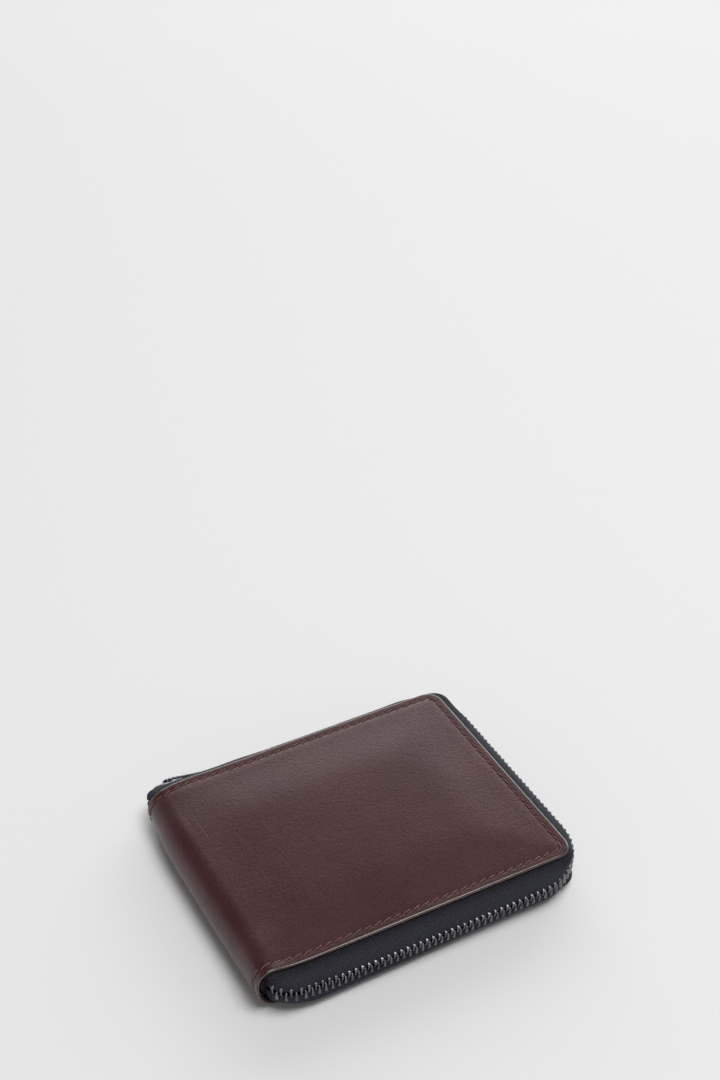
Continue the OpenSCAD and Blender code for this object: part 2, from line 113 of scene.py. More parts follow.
# %% [markdown]
# ## Materials
# A procedural material is a small tree of nodes. It could be clicked together by hand, but in a script a
# few helpers keep the trees short. One turns an ordinary screen colour into the linear numbers that a
# shader needs, one starts a material, one adds a node with its settings and one wires two nodes together.

# %% Material helpers
def screen_colour(red, green, blue):
    shares = [c / 255 for c in (red, green, blue)]
    linear = [c / 12.92 if c <= 0.04045 else ((c + 0.055) / 1.055) ** 2.4 for c in shares]
    return (*linear, 1.0)


def new_material(name, **sockets):
    material = bpy.data.materials.new(name)
    material.use_nodes = True
    shader = material.node_tree.nodes["Principled BSDF"]
    for socket, value in sockets.items():
        shader.inputs[socket.replace("_", " ")].default_value = value
    return material, shader


def add_node(material, kind, inputs=None, **settings):
    made = material.node_tree.nodes.new(kind)
    for key, value in settings.items():
        setattr(made, key, value)
    for key, value in (inputs or {}).items():
        made.inputs[key].default_value = value
    return made


def wire(material, source, target):
    material.node_tree.links.new(source, target)


print("a mid grey of the screen in linear light:", round(screen_colour(128, 128, 128)[0], 3))

# %% [markdown]
# ### Steps that most finishes share
# Leather, cloth and metal differ in size and depth, but their trees share the same steps: a place on the
# piece, a noise or waves at that place, a mix of two colours, a change of range and a bump. With these as
# helpers, a finish below reads like its recipe.

# %% Texture helpers
def coordinates(material, scale=(1, 1, 1), turn=0.0, uv=None):
    place = add_node(material, "ShaderNodeMapping", {"Scale": scale, "Rotation": (0, 0, turn)})
    if uv:
        source = add_node(material, "ShaderNodeUVMap", uv_map=uv).outputs["UV"]
    else:
        source = add_node(material, "ShaderNodeTexCoord").outputs["Object"]
    wire(material, source, place.inputs["Vector"])
    return place.outputs["Vector"]


def noise_at(material, vector, scale, detail=3.0, rough=0.5):
    made = add_node(
        material, "ShaderNodeTexNoise", {"Scale": scale, "Detail": detail, "Roughness": rough}
    )
    wire(material, vector, made.inputs["Vector"])
    return made.outputs["Fac"]


def waves_at(material, vector, scale, distortion, detail=2.0, **settings):
    sizes = {"Scale": scale, "Distortion": distortion, "Detail": detail}
    made = add_node(material, "ShaderNodeTexWave", sizes, **settings)
    wire(material, vector, made.inputs["Vector"])
    return made.outputs["Fac"]


def colour_between(material, shader, tone, dark, light, stops=(0.3, 0.7)):
    """Moves the base colour between two screen colours as a tone rises from the first stop to the second."""
    made = add_node(material, "ShaderNodeValToRGB")
    for point, at, colour in zip(made.color_ramp.elements, stops, (dark, light)):
        point.position = at
        point.color = screen_colour(*colour)
    wire(material, tone, made.inputs["Fac"])
    wire(material, made.outputs["Color"], shader.inputs["Base Color"])


def between(material, factor, low, high, from_low=0.0, from_high=1.0):
    made = add_node(
        material,
        "ShaderNodeMapRange",
        {"From Min": from_low, "From Max": from_high, "To Min": low, "To Max": high},
    )
    wire(material, factor, made.inputs["Value"])
    return made.outputs["Result"]


def combine(material, operation, first, second):
    made = add_node(material, "ShaderNodeMath", operation=operation)
    for socket, value in zip(made.inputs, (first, second)):
        wire(material, value, socket)
    return made.outputs["Value"]


def one_axis(material, vector, axis):
    made = add_node(material, "ShaderNodeSeparateXYZ")
    wire(material, vector, made.inputs["Vector"])
    return made.outputs[axis]


def add_bump(material, shader, height, strength, distance):
    made = add_node(material, "ShaderNodeBump", {"Strength": strength, "Distance": distance * MM})
    wire(material, height, made.inputs["Height"])
    wire(material, made.outputs["Normal"], shader.inputs["Normal"])


print("texture helpers ready")

# %% [markdown]
# ### Leather
# Smooth calf leather has a very fine grain, a waxy shine that is a little uneven, and creases where it has
# been bent, which run along the spine. The colour moves slowly between two browns. Grain and creases are
# only fractions of a millimetre deep, so a bump is enough for them.

# %% Leather finishes
SHEEN_TINT = (1.0, 0.73, 0.77, 1.0)
GRAIN_HEIGHT = 0.12
PEBBLE_RISE = 2.3
CREASE_RISE = 2.7
CREASE_STRETCH = (700.0, 26.0, 300.0)
CREASE_TURN = math.radians(6)
CREASED_X, PLAIN_X = SPINE_X + 10, SPINE_X + 48


def leather(name, dark, light, rough, grain_depth, creased=False):
    material, shader = new_material(name, Specular_IOR_Level=0.55, Specular_Tint=SHEEN_TINT)
    plain = coordinates(material)
    clouds = noise_at(material, plain, scale=38.0, detail=4.0, rough=0.55)
    speckle = noise_at(material, plain, scale=1100.0, detail=3.0, rough=0.65)
    slow, fast = between(material, clouds, 0.0, 0.45), between(material, speckle, 0.0, 0.55)
    colour_between(material, shader, combine(material, "ADD", slow, fast), dark, light)
    slow = between(material, clouds, -0.015, 0.015)
    fast = between(material, speckle, rough - 0.02, rough + 0.02)
    wire(material, combine(material, "ADD", slow, fast), shader.inputs["Roughness"])
    cells = add_node(material, "ShaderNodeTexVoronoi", {"Scale": 1500.0}, feature="DISTANCE_TO_EDGE")
    wire(material, plain, cells.inputs["Vector"])
    pebbles = between(material, noise_at(material, plain, scale=900.0, detail=2.0), 0.0, PEBBLE_RISE)
    fine = between(material, cells.outputs["Distance"], 0.0, 0.6, 0.0, 0.25)
    grain = combine(material, "ADD", fine, combine(material, "ADD", pebbles, speckle))
    if creased:
        stretched = coordinates(material, CREASE_STRETCH, CREASE_TURN)
        lines = noise_at(material, stretched, scale=1.0, detail=4.0, rough=0.6)
        lines = between(material, lines, 0.0, CREASE_RISE, 0.56, 0.68)
        broken = between(material, noise_at(material, plain, scale=60.0, detail=2.0), 0.0, 1.0, 0.45, 0.7)
        fold = combine(material, "MULTIPLY", lines, broken)
        near_spine = between(material, one_axis(material, plain, "X"), 1.0, 0.0, CREASED_X * MM, PLAIN_X * MM)
        grain = combine(material, "SUBTRACT", grain, combine(material, "MULTIPLY", fold, near_spine))
    add_bump(material, shader, grain, grain_depth, GRAIN_HEIGHT)
    return material


COVER_LEATHER = leather("cover_leather", (48, 23, 24), (67, 38, 38), 0.30, 0.19, creased=True)
POCKET_LEATHER = leather("pocket_leather", (52, 30, 31), (64, 39, 39), 0.44, 0.2)
FLESH_SIDE = leather("leather_flesh_side", (40, 24, 22), (56, 35, 31), 0.85, 0.3)
print("leather finishes made")

# %% [markdown]
# ### Edge paint and thread
# The cut edge of the leather is painted and polished. It is a little redder and shinier than the face, with
# faint lines along it from the two layers. The thread is matt, with slanted strands. A needle hole isn't cut
# into the leather: a near-black disc lies over its place, a painted shade of the hole.

# %% Edge paint and thread
def edge_paint():
    material, shader = new_material("edge_paint", Coat_Weight=0.6, Coat_Roughness=0.18)
    tone = noise_at(material, coordinates(material), scale=260.0)
    colour_between(material, shader, tone, (50, 20, 20), (70, 33, 32))
    wire(material, between(material, tone, 0.24, 0.36), shader.inputs["Roughness"])
    layers = noise_at(material, coordinates(material, (150, 150, 2600)), scale=1.0, detail=2.0)
    add_bump(material, shader, layers, 0.12, 0.1)
    return material


def thread(name, dark, light):
    material, shader = new_material(name, Roughness=0.62, Sheen_Weight=0.25)
    plain = coordinates(material)
    colour_between(material, shader, noise_at(material, plain, scale=1800.0, detail=2.0), dark, light)
    strands = waves_at(material, plain, scale=420.0, distortion=2.0, bands_direction="DIAGONAL")
    add_bump(material, shader, strands, 0.5, 0.12)
    return material


# Painted shade: this near-black colour stands in for the shade inside a needle hole.
def needle_hole_shade():
    material, shader = new_material("needle_hole_shade", Roughness=0.9)
    tone = noise_at(material, coordinates(material), scale=900.0)
    colour_between(material, shader, tone, (20, 10, 10), (34, 18, 17))
    return material


EDGE_PAINT = edge_paint()
COVER_THREAD = thread("cover_thread", (80, 42, 37), (122, 67, 56))
POCKET_THREAD = thread("pocket_thread", (78, 44, 40), (110, 66, 57))
NEEDLE_HOLE_SHADE = needle_hole_shade()
print("edge paint and thread made")

# %% [markdown]
# ### Zip tape and lining
# The tape is a twill: fine ribs that lie across it at a slant. The weave needs to follow the tape round the
# corners, so the tape carries its own coordinates, in millimetres along and across it. Its colour is painted
# darker where it comes out from under the leather's edge, as shade, and a little lighter towards the teeth.
# The lining is a finer twill.

# %% Woven finishes
TWILL_SLANT = math.radians(28)
# Painted shade on the tape: its tone falls by the first number where it leaves the leather's edge and rises
# by the second towards the teeth, over the stretch between the last two, in millimetres across the tape.
SHADE_UNDER_LEATHER = (-0.2, 0.02, 4.6, 9.5)
WAVES_PER_SCALE = 20 / math.tau


def twill(name, dark, light, rib, weave, rough, sheen):
    material, shader = new_material(
        name, Roughness=rough, Specular_IOR_Level=0.2, Sheen_Weight=sheen, Sheen_Roughness=0.45
    )
    if weave:
        flat = coordinates(material, turn=TWILL_SLANT, uv=weave)
    else:
        flat = coordinates(material, [1 / MM] * 3, TWILL_SLANT)
    ribs = waves_at(material, flat, scale=1 / (WAVES_PER_SCALE * rib), distortion=0.6)
    fluff = noise_at(material, flat, scale=1.4, detail=4.0, rough=0.7)
    tone = combine(
        material, "ADD", between(material, ribs, 0.0, 0.42), between(material, fluff, 0.0, 0.58)
    )
    # Painted shade: the tone is lowered where the tape comes out from under the leather and raised a little
    # towards the teeth.
    if weave:
        across = one_axis(material, coordinates(material, uv=weave), "Y")
        tone = combine(material, "ADD", tone, between(material, across, *SHADE_UNDER_LEATHER))
    colour_between(material, shader, tone, dark, light, stops=(0.34, 0.66))
    add_bump(material, shader, combine(material, "ADD", ribs, fluff), 0.7, 0.16)
    return material


ZIP_TAPE = twill("zip_tape", (8, 8, 12), (61, 61, 74), 0.55, "weave", 0.75, 0.0)
LINING = twill("lining_twill", (36, 23, 22), (58, 39, 36), 0.45, None, 0.8, 0.2)
print("woven finishes made")

# %% [markdown]
# ### Metal
# Teeth, slider and loop are plated in gunmetal, worn a little brighter in places. Long fine scratches
# change how rough the metal is, so a highlight breaks up along them. The loop is handled most and is the
# brightest.

# %% Metal finishes
def metal(name, dark, light, low_rough, high_rough):
    material, shader = new_material(name, Metallic=1.0)
    clouds = noise_at(material, coordinates(material), scale=420.0)
    scratches = noise_at(material, coordinates(material, (3000, 260, 3000)), scale=1.0, detail=2.0)
    colour_between(material, shader, clouds, dark, light)
    wire(material, between(material, scratches, low_rough, high_rough), shader.inputs["Roughness"])
    add_bump(material, shader, scratches, 0.08, 0.05)
    return material


TOOTH_METAL = metal("gunmetal_teeth", (82, 82, 88), (126, 126, 132), 0.2, 0.36)
SLIDER_METAL = metal("gunmetal_slider", (74, 74, 80), (112, 112, 118), 0.2, 0.36)
LOOP_METAL = metal("gunmetal_loop", (116, 116, 122), (156, 156, 162), 0.18, 0.3)
print("metal finishes made")

# %% [markdown]
# ## Building blocks
# A soft piece could be sculpted by hand, but a script can place each point from a rule, which gives the
# same piece each time. This helper turns points and faces into an object with smooth shading, and keeps the
# edges sharp where two faces meet at a steep angle. Thin cloth is one layer of points that a modifier
# thickens.

# %% Making a piece
SHARP_ANGLE = math.radians(48)
FACE, RIM, BACK = 0, 1, 2


def make_piece(name, points, faces, materials, picks=None, weave=None):
    mesh = bpy.data.meshes.new(name)
    mesh.from_pydata([[c * MM for c in p] for p in points], [], faces)
    for material in materials:
        mesh.materials.append(material)
    if picks:
        mesh.polygons.foreach_set("material_index", picks)
    if weave:
        layer = mesh.uv_layers.new(name="weave")
        for loop in mesh.loops:
            layer.data[loop.index].uv = weave[loop.vertex_index]
    mesh.update()
    form = bmesh.new()
    form.from_mesh(mesh)
    bmesh.ops.recalc_face_normals(form, faces=form.faces)
    form.to_mesh(mesh)
    form.free()
    mesh.polygons.foreach_set("use_smooth", [True] * len(mesh.polygons))
    mesh.set_sharp_from_angle(angle=SHARP_ANGLE)
    piece = bpy.data.objects.new(name, mesh)
    bpy.context.collection.objects.link(piece)
    return piece


def thicken(piece, thickness):
    cloth = piece.modifiers.new("thickness", "SOLIDIFY")
    cloth.thickness = thickness * MM
    cloth.offset = 0.0


print("edges sharper than", round(math.degrees(SHARP_ANGLE)), "degrees stay sharp")

# %% [markdown]
# ### Grids and tubes
# Most pieces are a grid of points that is bent into shape, so one helper makes the faces of a grid. A
# stitch or a tooth is a tube over a few rings of points. There are hundreds of them, and a pile gathers
# those of one row into a single piece.

# %% Grids and tubes
def grid_faces(rows, columns, start=0, ring=False, closed=False):
    """Quads of a grid of points stored row by row. A ring joins the last column to the first, and a closed
    grid its last row to the first."""
    faces = []
    for i in range(rows if closed else rows - 1):
        here, there = start + i * columns, start + (i + 1) % rows * columns
        for j in range(columns if ring else columns - 1):
            k = (j + 1) % columns
            faces.append([here + j, there + j, there + k, here + k])
    return faces


def three_edges(rows, columns):
    """The points of a grid along its first column, its last row and its last column."""
    line = [i * columns for i in range(rows)] + [(rows - 1) * columns + j for j in range(1, columns)]
    return line + [i * columns + columns - 1 for i in range(rows - 2, -1, -1)]


class Pile:
    """Points and faces of many small shapes that become one piece."""

    def __init__(self):
        self.points = []
        self.faces = []

    def tube(self, rings, closed=False):
        """A skin over rings of points of one count. A closed one meets its first ring again."""
        start, sides = len(self.points), len(rings[0])
        for ring in rings:
            self.points.extend(ring)
        self.faces.extend(grid_faces(len(rings), sides, start, ring=True, closed=closed))
        if not closed:
            for end in (start, start + (len(rings) - 1) * sides):
                self.faces.append([end + k for k in range(sides)])

    def disc(self, ring):
        self.faces.append(list(range(len(self.points), len(self.points) + len(ring))))
        self.points.extend(ring)

    def piece(self, name, material):
        made = make_piece(name, self.points, self.faces, [material])
        print(f"{name}: {len(self.points)} points")
        return made


print("faces of a grid of 3 by 3 points:", len(grid_faces(3, 3)))

# %% [markdown]
# ### Steps and curves
# Four small rules shape nearly everything here: numbers spread evenly over a stretch, a soft step from 0 to
# 1, a round hill, and rings that follow a path for a thread or a wire.

# %% Steps and curves
def spread(first, last, step):
    """Evenly spaced numbers from first to last, about a step apart."""
    count = max(1, round(abs(last - first) / step))
    return [first + (last - first) * i / count for i in range(count + 1)]


def smooth_step(value, low, high):
    t = min(1.0, max(0.0, (value - low) / (high - low)))
    return t * t * (3 - 2 * t)


def hill(value, middle, width):
    return math.exp(-(((value - middle) / width) ** 2))


def wire_rings(path, radii, sides):
    """Rings of points round a path, for a thread or a wire."""
    path = [Vector(p) for p in path]
    rings = []
    side = None
    for i, (p, r) in enumerate(zip(path, radii)):
        along = (path[min(i + 1, len(path) - 1)] - path[max(i - 1, 0)]).normalized()
        if side is None:
            side = along.orthogonal().normalized()
        side = (side - along * side.dot(along)).normalized()
        other = along.cross(side)
        angles = [math.tau * k / sides for k in range(sides)]
        rings.append([p + (side * math.cos(a) + other * math.sin(a)) * r for a in angles])
    return rings


print("a soft step at a quarter and at three quarters:", [smooth_step(t, 0, 1) for t in (0.25, 0.75)])

# %% [markdown]
# ## Covers
# A cover is one sheet of leather from the middle of the spine, round the bend, to the fore edge. It is
# drawn flat first: one direction runs round the bend and along the cover, the other along the spine. Folded
# leather never lies in a plain half round. It has a full shoulder above and a slight bow along the spine,
# and the ends of the zip draw its edges in. At the head they pull it down as well.

# %% How the folded leather lies
BEND_RUN = HALF_T * math.pi / 2
SHEET_END = BEND_RUN + FORE_X - BEND_X
SHOULDER_SWELL, SHOULDER_RUN, SHOULDER_WIDTH = 1.7, 6.6, 4.7
INNER_SWELL, INNER_WIDTH, INNER_FADE = 0.6, 14.0, (3.0, 22.0)
UNDER_SWELL, UNDER_RUN, UNDER_WIDTH = 0.25, -6.0, 6.0
BOW, BOW_WIDTH = 0.6, 7.0
FOOT_TUCK, HEAD_TUCK, TUCK_FADE, TUCK_REACH = 1.0, 1.4, (6.0, 25.0), 25.0
HEAD_DIP, DIP_RUN, DIP_WIDTH = 0.3, BEND_RUN + 31.0, 16.0
HEAD_DROOP, DROOP_FADE, DROOP_REACH = 1.3, (7.0, 18.0), 26.0


def spine_swell(run, y, side):
    """How far the folded leather stands out from a plain half round."""
    place = side * run
    inner = smooth_step(y - FOOT_Y, *INNER_FADE)
    swell = SHOULDER_SWELL + (INNER_SWELL - SHOULDER_SWELL) * inner
    width = SHOULDER_WIDTH
    if place >= SHOULDER_RUN:
        width += (INNER_WIDTH - SHOULDER_WIDTH) * inner
    bow = BOW * (1 - (y / HEAD_Y) ** 2) * hill(place, 0.0, BOW_WIDTH)
    return swell * hill(place, SHOULDER_RUN, width) + UNDER_SWELL * hill(place, UNDER_RUN, UNDER_WIDTH) + bow


def drawn_in(run, y):
    """Near the spine the zip's ends pull the edges of the sheet in, more at the head than at the foot."""
    near = 1 - smooth_step(run, *TUCK_FADE)
    foot = FOOT_TUCK * near * (1 - smooth_step(y - FOOT_Y, 0.0, TUCK_REACH))
    pull = HEAD_TUCK * near + HEAD_DIP * hill(run, DIP_RUN, DIP_WIDTH)
    head = pull * (1 - smooth_step(HEAD_Y - y, 0.0, TUCK_REACH))
    return y + foot - head


def head_droop(run, y):
    """The zip's head end also pulls the leather down over the last stretch of the spine."""
    return HEAD_DROOP * (1 - smooth_step(run, *DROOP_FADE)) * (1 - smooth_step(HEAD_Y - y, 0.0, DROOP_REACH))


print("flat sheet of a cover:", round(SHEET_END, 1), "by", round(HEAD_Y - FOOT_Y, 1), "mm")

# %% [markdown]
# ### Bending the sheet
# A bend modifier would turn the sheet round the spine too, but it can't add the swell and the drawn-in
# ends. So each point is bent by a rule of its own. The lines of the grid lie close together near the edges,
# where the leather rolls over and is sewn, and further apart in the middle of the cover.

# %% Bending the sheet
EDGE_STEPS = [0, 0.03, 0.09, 0.18, 0.28, 0.4, 0.5, 0.58, 0.75, 1.1, 1.5]
EDGE_STEPS += [2.0, 2.5, 2.9, 3.3, 3.8, 4.4, 5.2, 6.0, 7.2, 9.0, 12.0]
MIDDLE_STEPS = [0.0, 0.12, 0.4]
BEND_STEP = 0.8
FLAT_STEP = 4.0


def bent(run, y, height, side, swell=1.0):
    """A point of the sheet: run along the section, y along the spine, height off the sheet, and side 1 for
    the upper cover or -1 for the lower."""
    height += swell * spine_swell(run, y, side) - head_droop(run, y)
    y = drawn_in(run, y)
    if run >= BEND_RUN:
        x, off = BEND_X + run - BEND_RUN, HALF_T + height
    else:
        angle = (BEND_RUN - run) / HALF_T
        x, off = BEND_X - (HALF_T + height) * math.sin(angle), (HALF_T + height) * math.cos(angle)
    return (x, y, MIDDLE_Z + side * off)


def rounded(run, y, end, foot, head, corner):
    """Moves a point of a square-cornered sheet into its round fore corner. Gives (run, y, distance from the
    edge)."""
    a = end - run
    at_foot = y - foot < head - y
    b = y - foot if at_foot else head - y
    inset = min(a, b)
    if max(a, b) < corner:
        r = corner - inset
        turn = math.radians(45) * (corner - max(a, b)) / r
        long, short = corner - r * math.cos(turn), corner - r * math.sin(turn)
        a, b = (long, short) if a <= b else (short, long)
    return end - a, foot + b if at_foot else head - b, inset


def sheet_lines(inset):
    steps = [inset + s for s in EDGE_STEPS]
    runs = MIDDLE_STEPS + spread(BEND_STEP, BEND_RUN, BEND_STEP)
    runs += spread(BEND_RUN, SHEET_END - steps[-1], FLAT_STEP)[1:-1]
    runs += [SHEET_END - s for s in reversed(steps)]
    ys = [FOOT_Y + s for s in steps] + spread(FOOT_Y + steps[-1], HEAD_Y - steps[-1], FLAT_STEP)[1:-1]
    ys += [HEAD_Y - s for s in reversed(steps)]
    return runs, ys


print("lines of the sheet:", [len(lines) for lines in sheet_lines(0.0)])

# %% [markdown]
# ### A closed sheet
# Leather and lining both have a face, a back and an edge that shows. A solidify modifier would give them
# one square edge. Here the face and the back are two grids with their own heights, and a few strips between
# them make the round, painted edge. The cut along the middle of the spine is closed by one last face.

# %% A closed sheet
HAIR = 0.01


def shell(name, side, inset, corner, face_height, back_height, rim, materials, swell=1.0, painted=0.0):
    """A closed sheet: its face, its back, and a rim of (distance out, height) points round three edges.
    The edge paint runs on over the face as far as painted."""
    runs, ys = sheet_lines(inset)
    end, foot, head = SHEET_END - inset, FOOT_Y + inset, HEAD_Y - inset
    points = []
    for height in (face_height, back_height):
        for run in runs:
            for y in ys:
                flat_run, flat_y, edge = rounded(run, y, end, foot, head, corner)
                points.append(bent(flat_run, flat_y, height(edge, flat_run, flat_y), side, swell))
    rows, columns = len(runs), len(ys)
    faces = grid_faces(rows, columns) + grid_faces(rows, columns, rows * columns)
    picks = []
    for i in range(rows - 1):
        for j in range(columns - 1):
            edge = min(ys[j] - foot, head - ys[j + 1], end - runs[i + 1])
            picks.append(RIM if edge < painted - HAIR else FACE)
    picks += [BACK] * (len(faces) // 2)
    loop = three_edges(rows, columns)
    strips = [loop]
    for out, height in rim:
        strips.append(list(range(len(points), len(points) + len(loop))))
        for k in loop:
            run, y, _ = rounded(runs[k // columns], ys[k % columns], end, foot, head, corner)
            core_run, core_y = min(run, end - corner), min(max(y, foot + corner), head - corner)
            away = Vector((run - core_run, y - core_y)).normalized() * out
            points.append(bent(run + away.x, y + away.y, height, side, swell))
    strips.append([k + rows * columns for k in loop])
    for upper, lower in zip(strips, strips[1:]):
        faces += [[upper[k], upper[k + 1], lower[k + 1], lower[k]] for k in range(len(loop) - 1)]
        picks += [RIM] * (len(loop) - 1)
    cap = list(range(columns)) + [strip[-1] for strip in strips[1:-1]]
    cap += [rows * columns + j for j in range(columns - 1, -1, -1)] + [strip[0] for strip in strips[-2:0:-1]]
    return make_piece(name, points, faces + [cap], materials, picks + [BACK])


print("sheet helper ready: a face, a back and a rim round three edges")

# %% [markdown]
# ### The face of a cover
# The height of the face comes from the distance to the edge: a rolled edge, a flat border, the groove that
# the seam pulls down, then the swell of the padding. Towards the spine the padding thins out, and a little
# slow noise keeps the pad from looking like a machined plate. These are real heights, because a bump would
# leave the outline flat.

# %% The face of a cover
SEAM_INSET = 2.9
EDGE_ROLL, EDGE_DROP = 0.6, 0.45
FOOT_ROLL, FOOT_DROP = 0.28, 0.62
FACET_WIDTH = 0.58
FACET_SLOPE = math.tan(math.radians(24))
FACET_FADE = (3.0, 9.0)
FACET_START = (4.0, 44.0)
SEAM_DEPTH, SEAM_WIDTH = 0.09, 0.5
PAD_LIP, PAD_LIP_END = 0.08, 6.0
PAD_FULL, PAD_START = 28.0, 22.0
WAVE_RISE, WAVE_RUN, WAVE_Y, WAVE_SEED, WAVE_FULL = 0.04, 28, 34, 3.0, 12.0
EDGE_PARED = 0.4


def quarter_round(edge, width):
    """How far a rounded edge has fallen, from 1 at the edge itself to 0 where the flat begins."""
    return 1 - math.sqrt(1 - (1 - min(edge / width, 1.0)) ** 2)


def edge_drop(edge, run, y):
    """The edge is rolled all round. Along the foot it is rubbed to a narrow slope that catches the light."""
    rolled = EDGE_DROP * quarter_round(edge, EDGE_ROLL)
    slope = FACET_SLOPE * max(0.0, FACET_WIDTH - edge)
    rubbed = slope + (FOOT_DROP - FACET_SLOPE * FACET_WIDTH) * quarter_round(edge, FOOT_ROLL)
    share = smooth_step(run - BEND_RUN, *FACET_START) * (1 - smooth_step(y - FOOT_Y, *FACET_FADE))
    return rolled + (rubbed - rolled) * share


def cover_face(edge, run, y):
    groove = SEAM_DEPTH * hill(edge, SEAM_INSET, SEAM_WIDTH)
    lip = PAD_LIP * smooth_step(edge, SEAM_INSET, PAD_LIP_END)
    full = smooth_step(edge, SEAM_INSET, PAD_FULL) * smooth_step(run, BEND_RUN, BEND_RUN + PAD_START)
    slow = noise.noise(Vector((run / WAVE_RUN, y / WAVE_Y, WAVE_SEED)))
    wave = WAVE_RISE * slow * smooth_step(edge, SEAM_INSET, WAVE_FULL)
    return lip + (CROWN - PAD_LIP) * full + wave - groove - edge_drop(edge, run, y)


def cover_back(edge, run, y):
    """The leather is pared thinner from behind at its very edge."""
    return -LEATHER_T + EDGE_PARED * (1 - smooth_step(edge, 0.0, EDGE_ROLL))


print("pad stands", round(cover_face(PAD_FULL, SHEET_END - PAD_FULL, 0.0), 2), "mm over the flat sheet")

# %% [markdown]
# ### Leather covers
# Both covers are the same sheet, once above and once below.

# %% Leather covers
COVER_FINISH = [COVER_LEATHER, EDGE_PAINT, FLESH_SIDE]
EDGE_PAINTED = 0.58
COVER_RIM = [(0.04, -0.68), (0.05, -0.74), (0.03, -0.80)]
UPPER_COVER = ["upper_cover_leather", "upper_cover_padding", "upper_cover_core"]
LOWER_COVER = ["lower_cover_leather", "lower_cover_padding", "lower_cover_core"]
SPINE = ["spine_leather", "spine_core"]


def bend_with(piece, side):
    """Bakes the piece's place into its points, the same for either side."""
    if side < 0:
        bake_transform(piece)
    else:
        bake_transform(piece)


for name, side, nodes in (("upper_leather", 1, UPPER_COVER + SPINE), ("lower_leather", -1, LOWER_COVER)):
    cover = shell(
        name, side, 0.0, CORNER_R, cover_face, cover_back, COVER_RIM, COVER_FINISH, painted=EDGE_PAINTED
    )
    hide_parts(*nodes)
    bend_with(cover, side)
    print(name, len(cover.data.vertices), "points")

# %% [markdown]
# ## Lining
# The lining is a thin twill that covers the boards, and its face is what shows when the wallet is open. It
# could be a plain flat panel on each half, but it runs round the spine's bend as the leather does. So it is
# the same kind of sheet, drawn in from the edge and laid under the leather.

# %% Lining sheets
LINING_INSET = HEAD_Y - LINING_HIGH[1]
LINING_OUT = -2.05
LINING_IN = LINING_LOW[2] - MIDDLE_Z - HALF_T
LINING_CORNER = 12.0
LINING_RIM = [(0.03, -2.2), (0.03, -2.35)]
LINING_DROP, LINING_ROLL = 0.12, 0.6


def lining_out(edge, run, y):
    return LINING_OUT


def lining_in(edge, run, y):
    return LINING_IN + LINING_DROP * (1 - smooth_step(edge, 0.0, LINING_ROLL))


for name, side, nodes in (
    ("upper_lining_sheet", 1, ["upper_lining", "spine_lining"]),
    ("lower_lining_sheet", -1, ["lower_lining"]),
):
    cloth = shell(
        name, side, LINING_INSET, LINING_CORNER, lining_out, lining_in, LINING_RIM, [LINING] * 3, swell=0.0
    )
    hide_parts(*nodes)
    bend_with(cloth, side)

# %% [markdown]
# ## Seams
# A saddle seam runs at one distance from the leather's edge. Its line is drawn on the flat sheet, as a
# sewer marks it before the leather is folded, and even places along it are where the stitches go. The pitch
# is stretched a little so that a whole number fits.

# %% Places along a seam
STITCH_PITCH = 3.6
LINE_STEP, ARC_STEP = 1.0, 0.2


def seam_line(inset):
    """Points of the sheet at one distance from its edge, from the middle of the spine all the way round."""
    r = CORNER_R - inset
    foot, head, fore = FOOT_Y + inset, HEAD_Y - inset, SHEET_END - inset
    turns = spread(0.0, math.pi / 2, ARC_STEP)[1:]
    line = [(run, foot) for run in spread(0.0, fore - r, LINE_STEP)]
    line += [(fore - r + r * math.sin(a), foot + r - r * math.cos(a)) for a in turns]
    line += [(fore, y) for y in spread(foot + r, head - r, LINE_STEP)[1:]]
    line += [(fore - r + r * math.cos(a), head - r + r * math.sin(a)) for a in turns]
    line += [(run, head) for run in spread(fore - r, 0.0, LINE_STEP)[1:]]
    return [Vector(p) for p in line]


def along_line(line, pitch):
    """Places at an even pitch along a line, as (point, direction), and the pitch that fits it."""
    lengths = [0.0]
    for a, b in zip(line, line[1:]):
        lengths.append(lengths[-1] + (b - a).length)
    count = max(1, math.floor(lengths[-1] / pitch))
    pitch = lengths[-1] / count
    places, k = [], 0
    for i in range(count):
        at = (i + 0.5) * pitch
        while lengths[k + 1] < at:
            k += 1
        step = (line[k + 1] - line[k]).normalized()
        places.append((line[k] + step * (at - lengths[k]), step))
    return places, pitch


seam_places, seam_pitch = along_line(seam_line(SEAM_INSET), STITCH_PITCH)
print("stitches in a cover seam:", len(seam_places), "pitch", round(seam_pitch, 2))

# %% [markdown]
# ### Stitches
# A saddle seam shows as short slanted stitches with a dark needle hole between each pair. A picture of a
# seam would look flat from the side. Here each stitch is a thread that comes up out of one hole and goes
# down into the next, so it is a small tube that dips at its ends.

# %% Stitches and needle holes
STITCH_SHARE = 0.45
STITCH_SHAPE = [(-1.0, 0.5), (-0.8, 0.85), (-0.4, 1.0), (0.0, 1.0), (0.4, 1.0), (0.8, 0.85), (1.0, 0.5)]
STITCH_SIDES = 7
STITCH_LIFT, STITCH_DIP, STITCH_LEVEL = 0.7, 1.5, 0.4
HOLE_LENGTH, HOLE_WIDTH, HOLE_SIDES, HOLE_LIFT = 0.7, 0.34, 8, 0.02


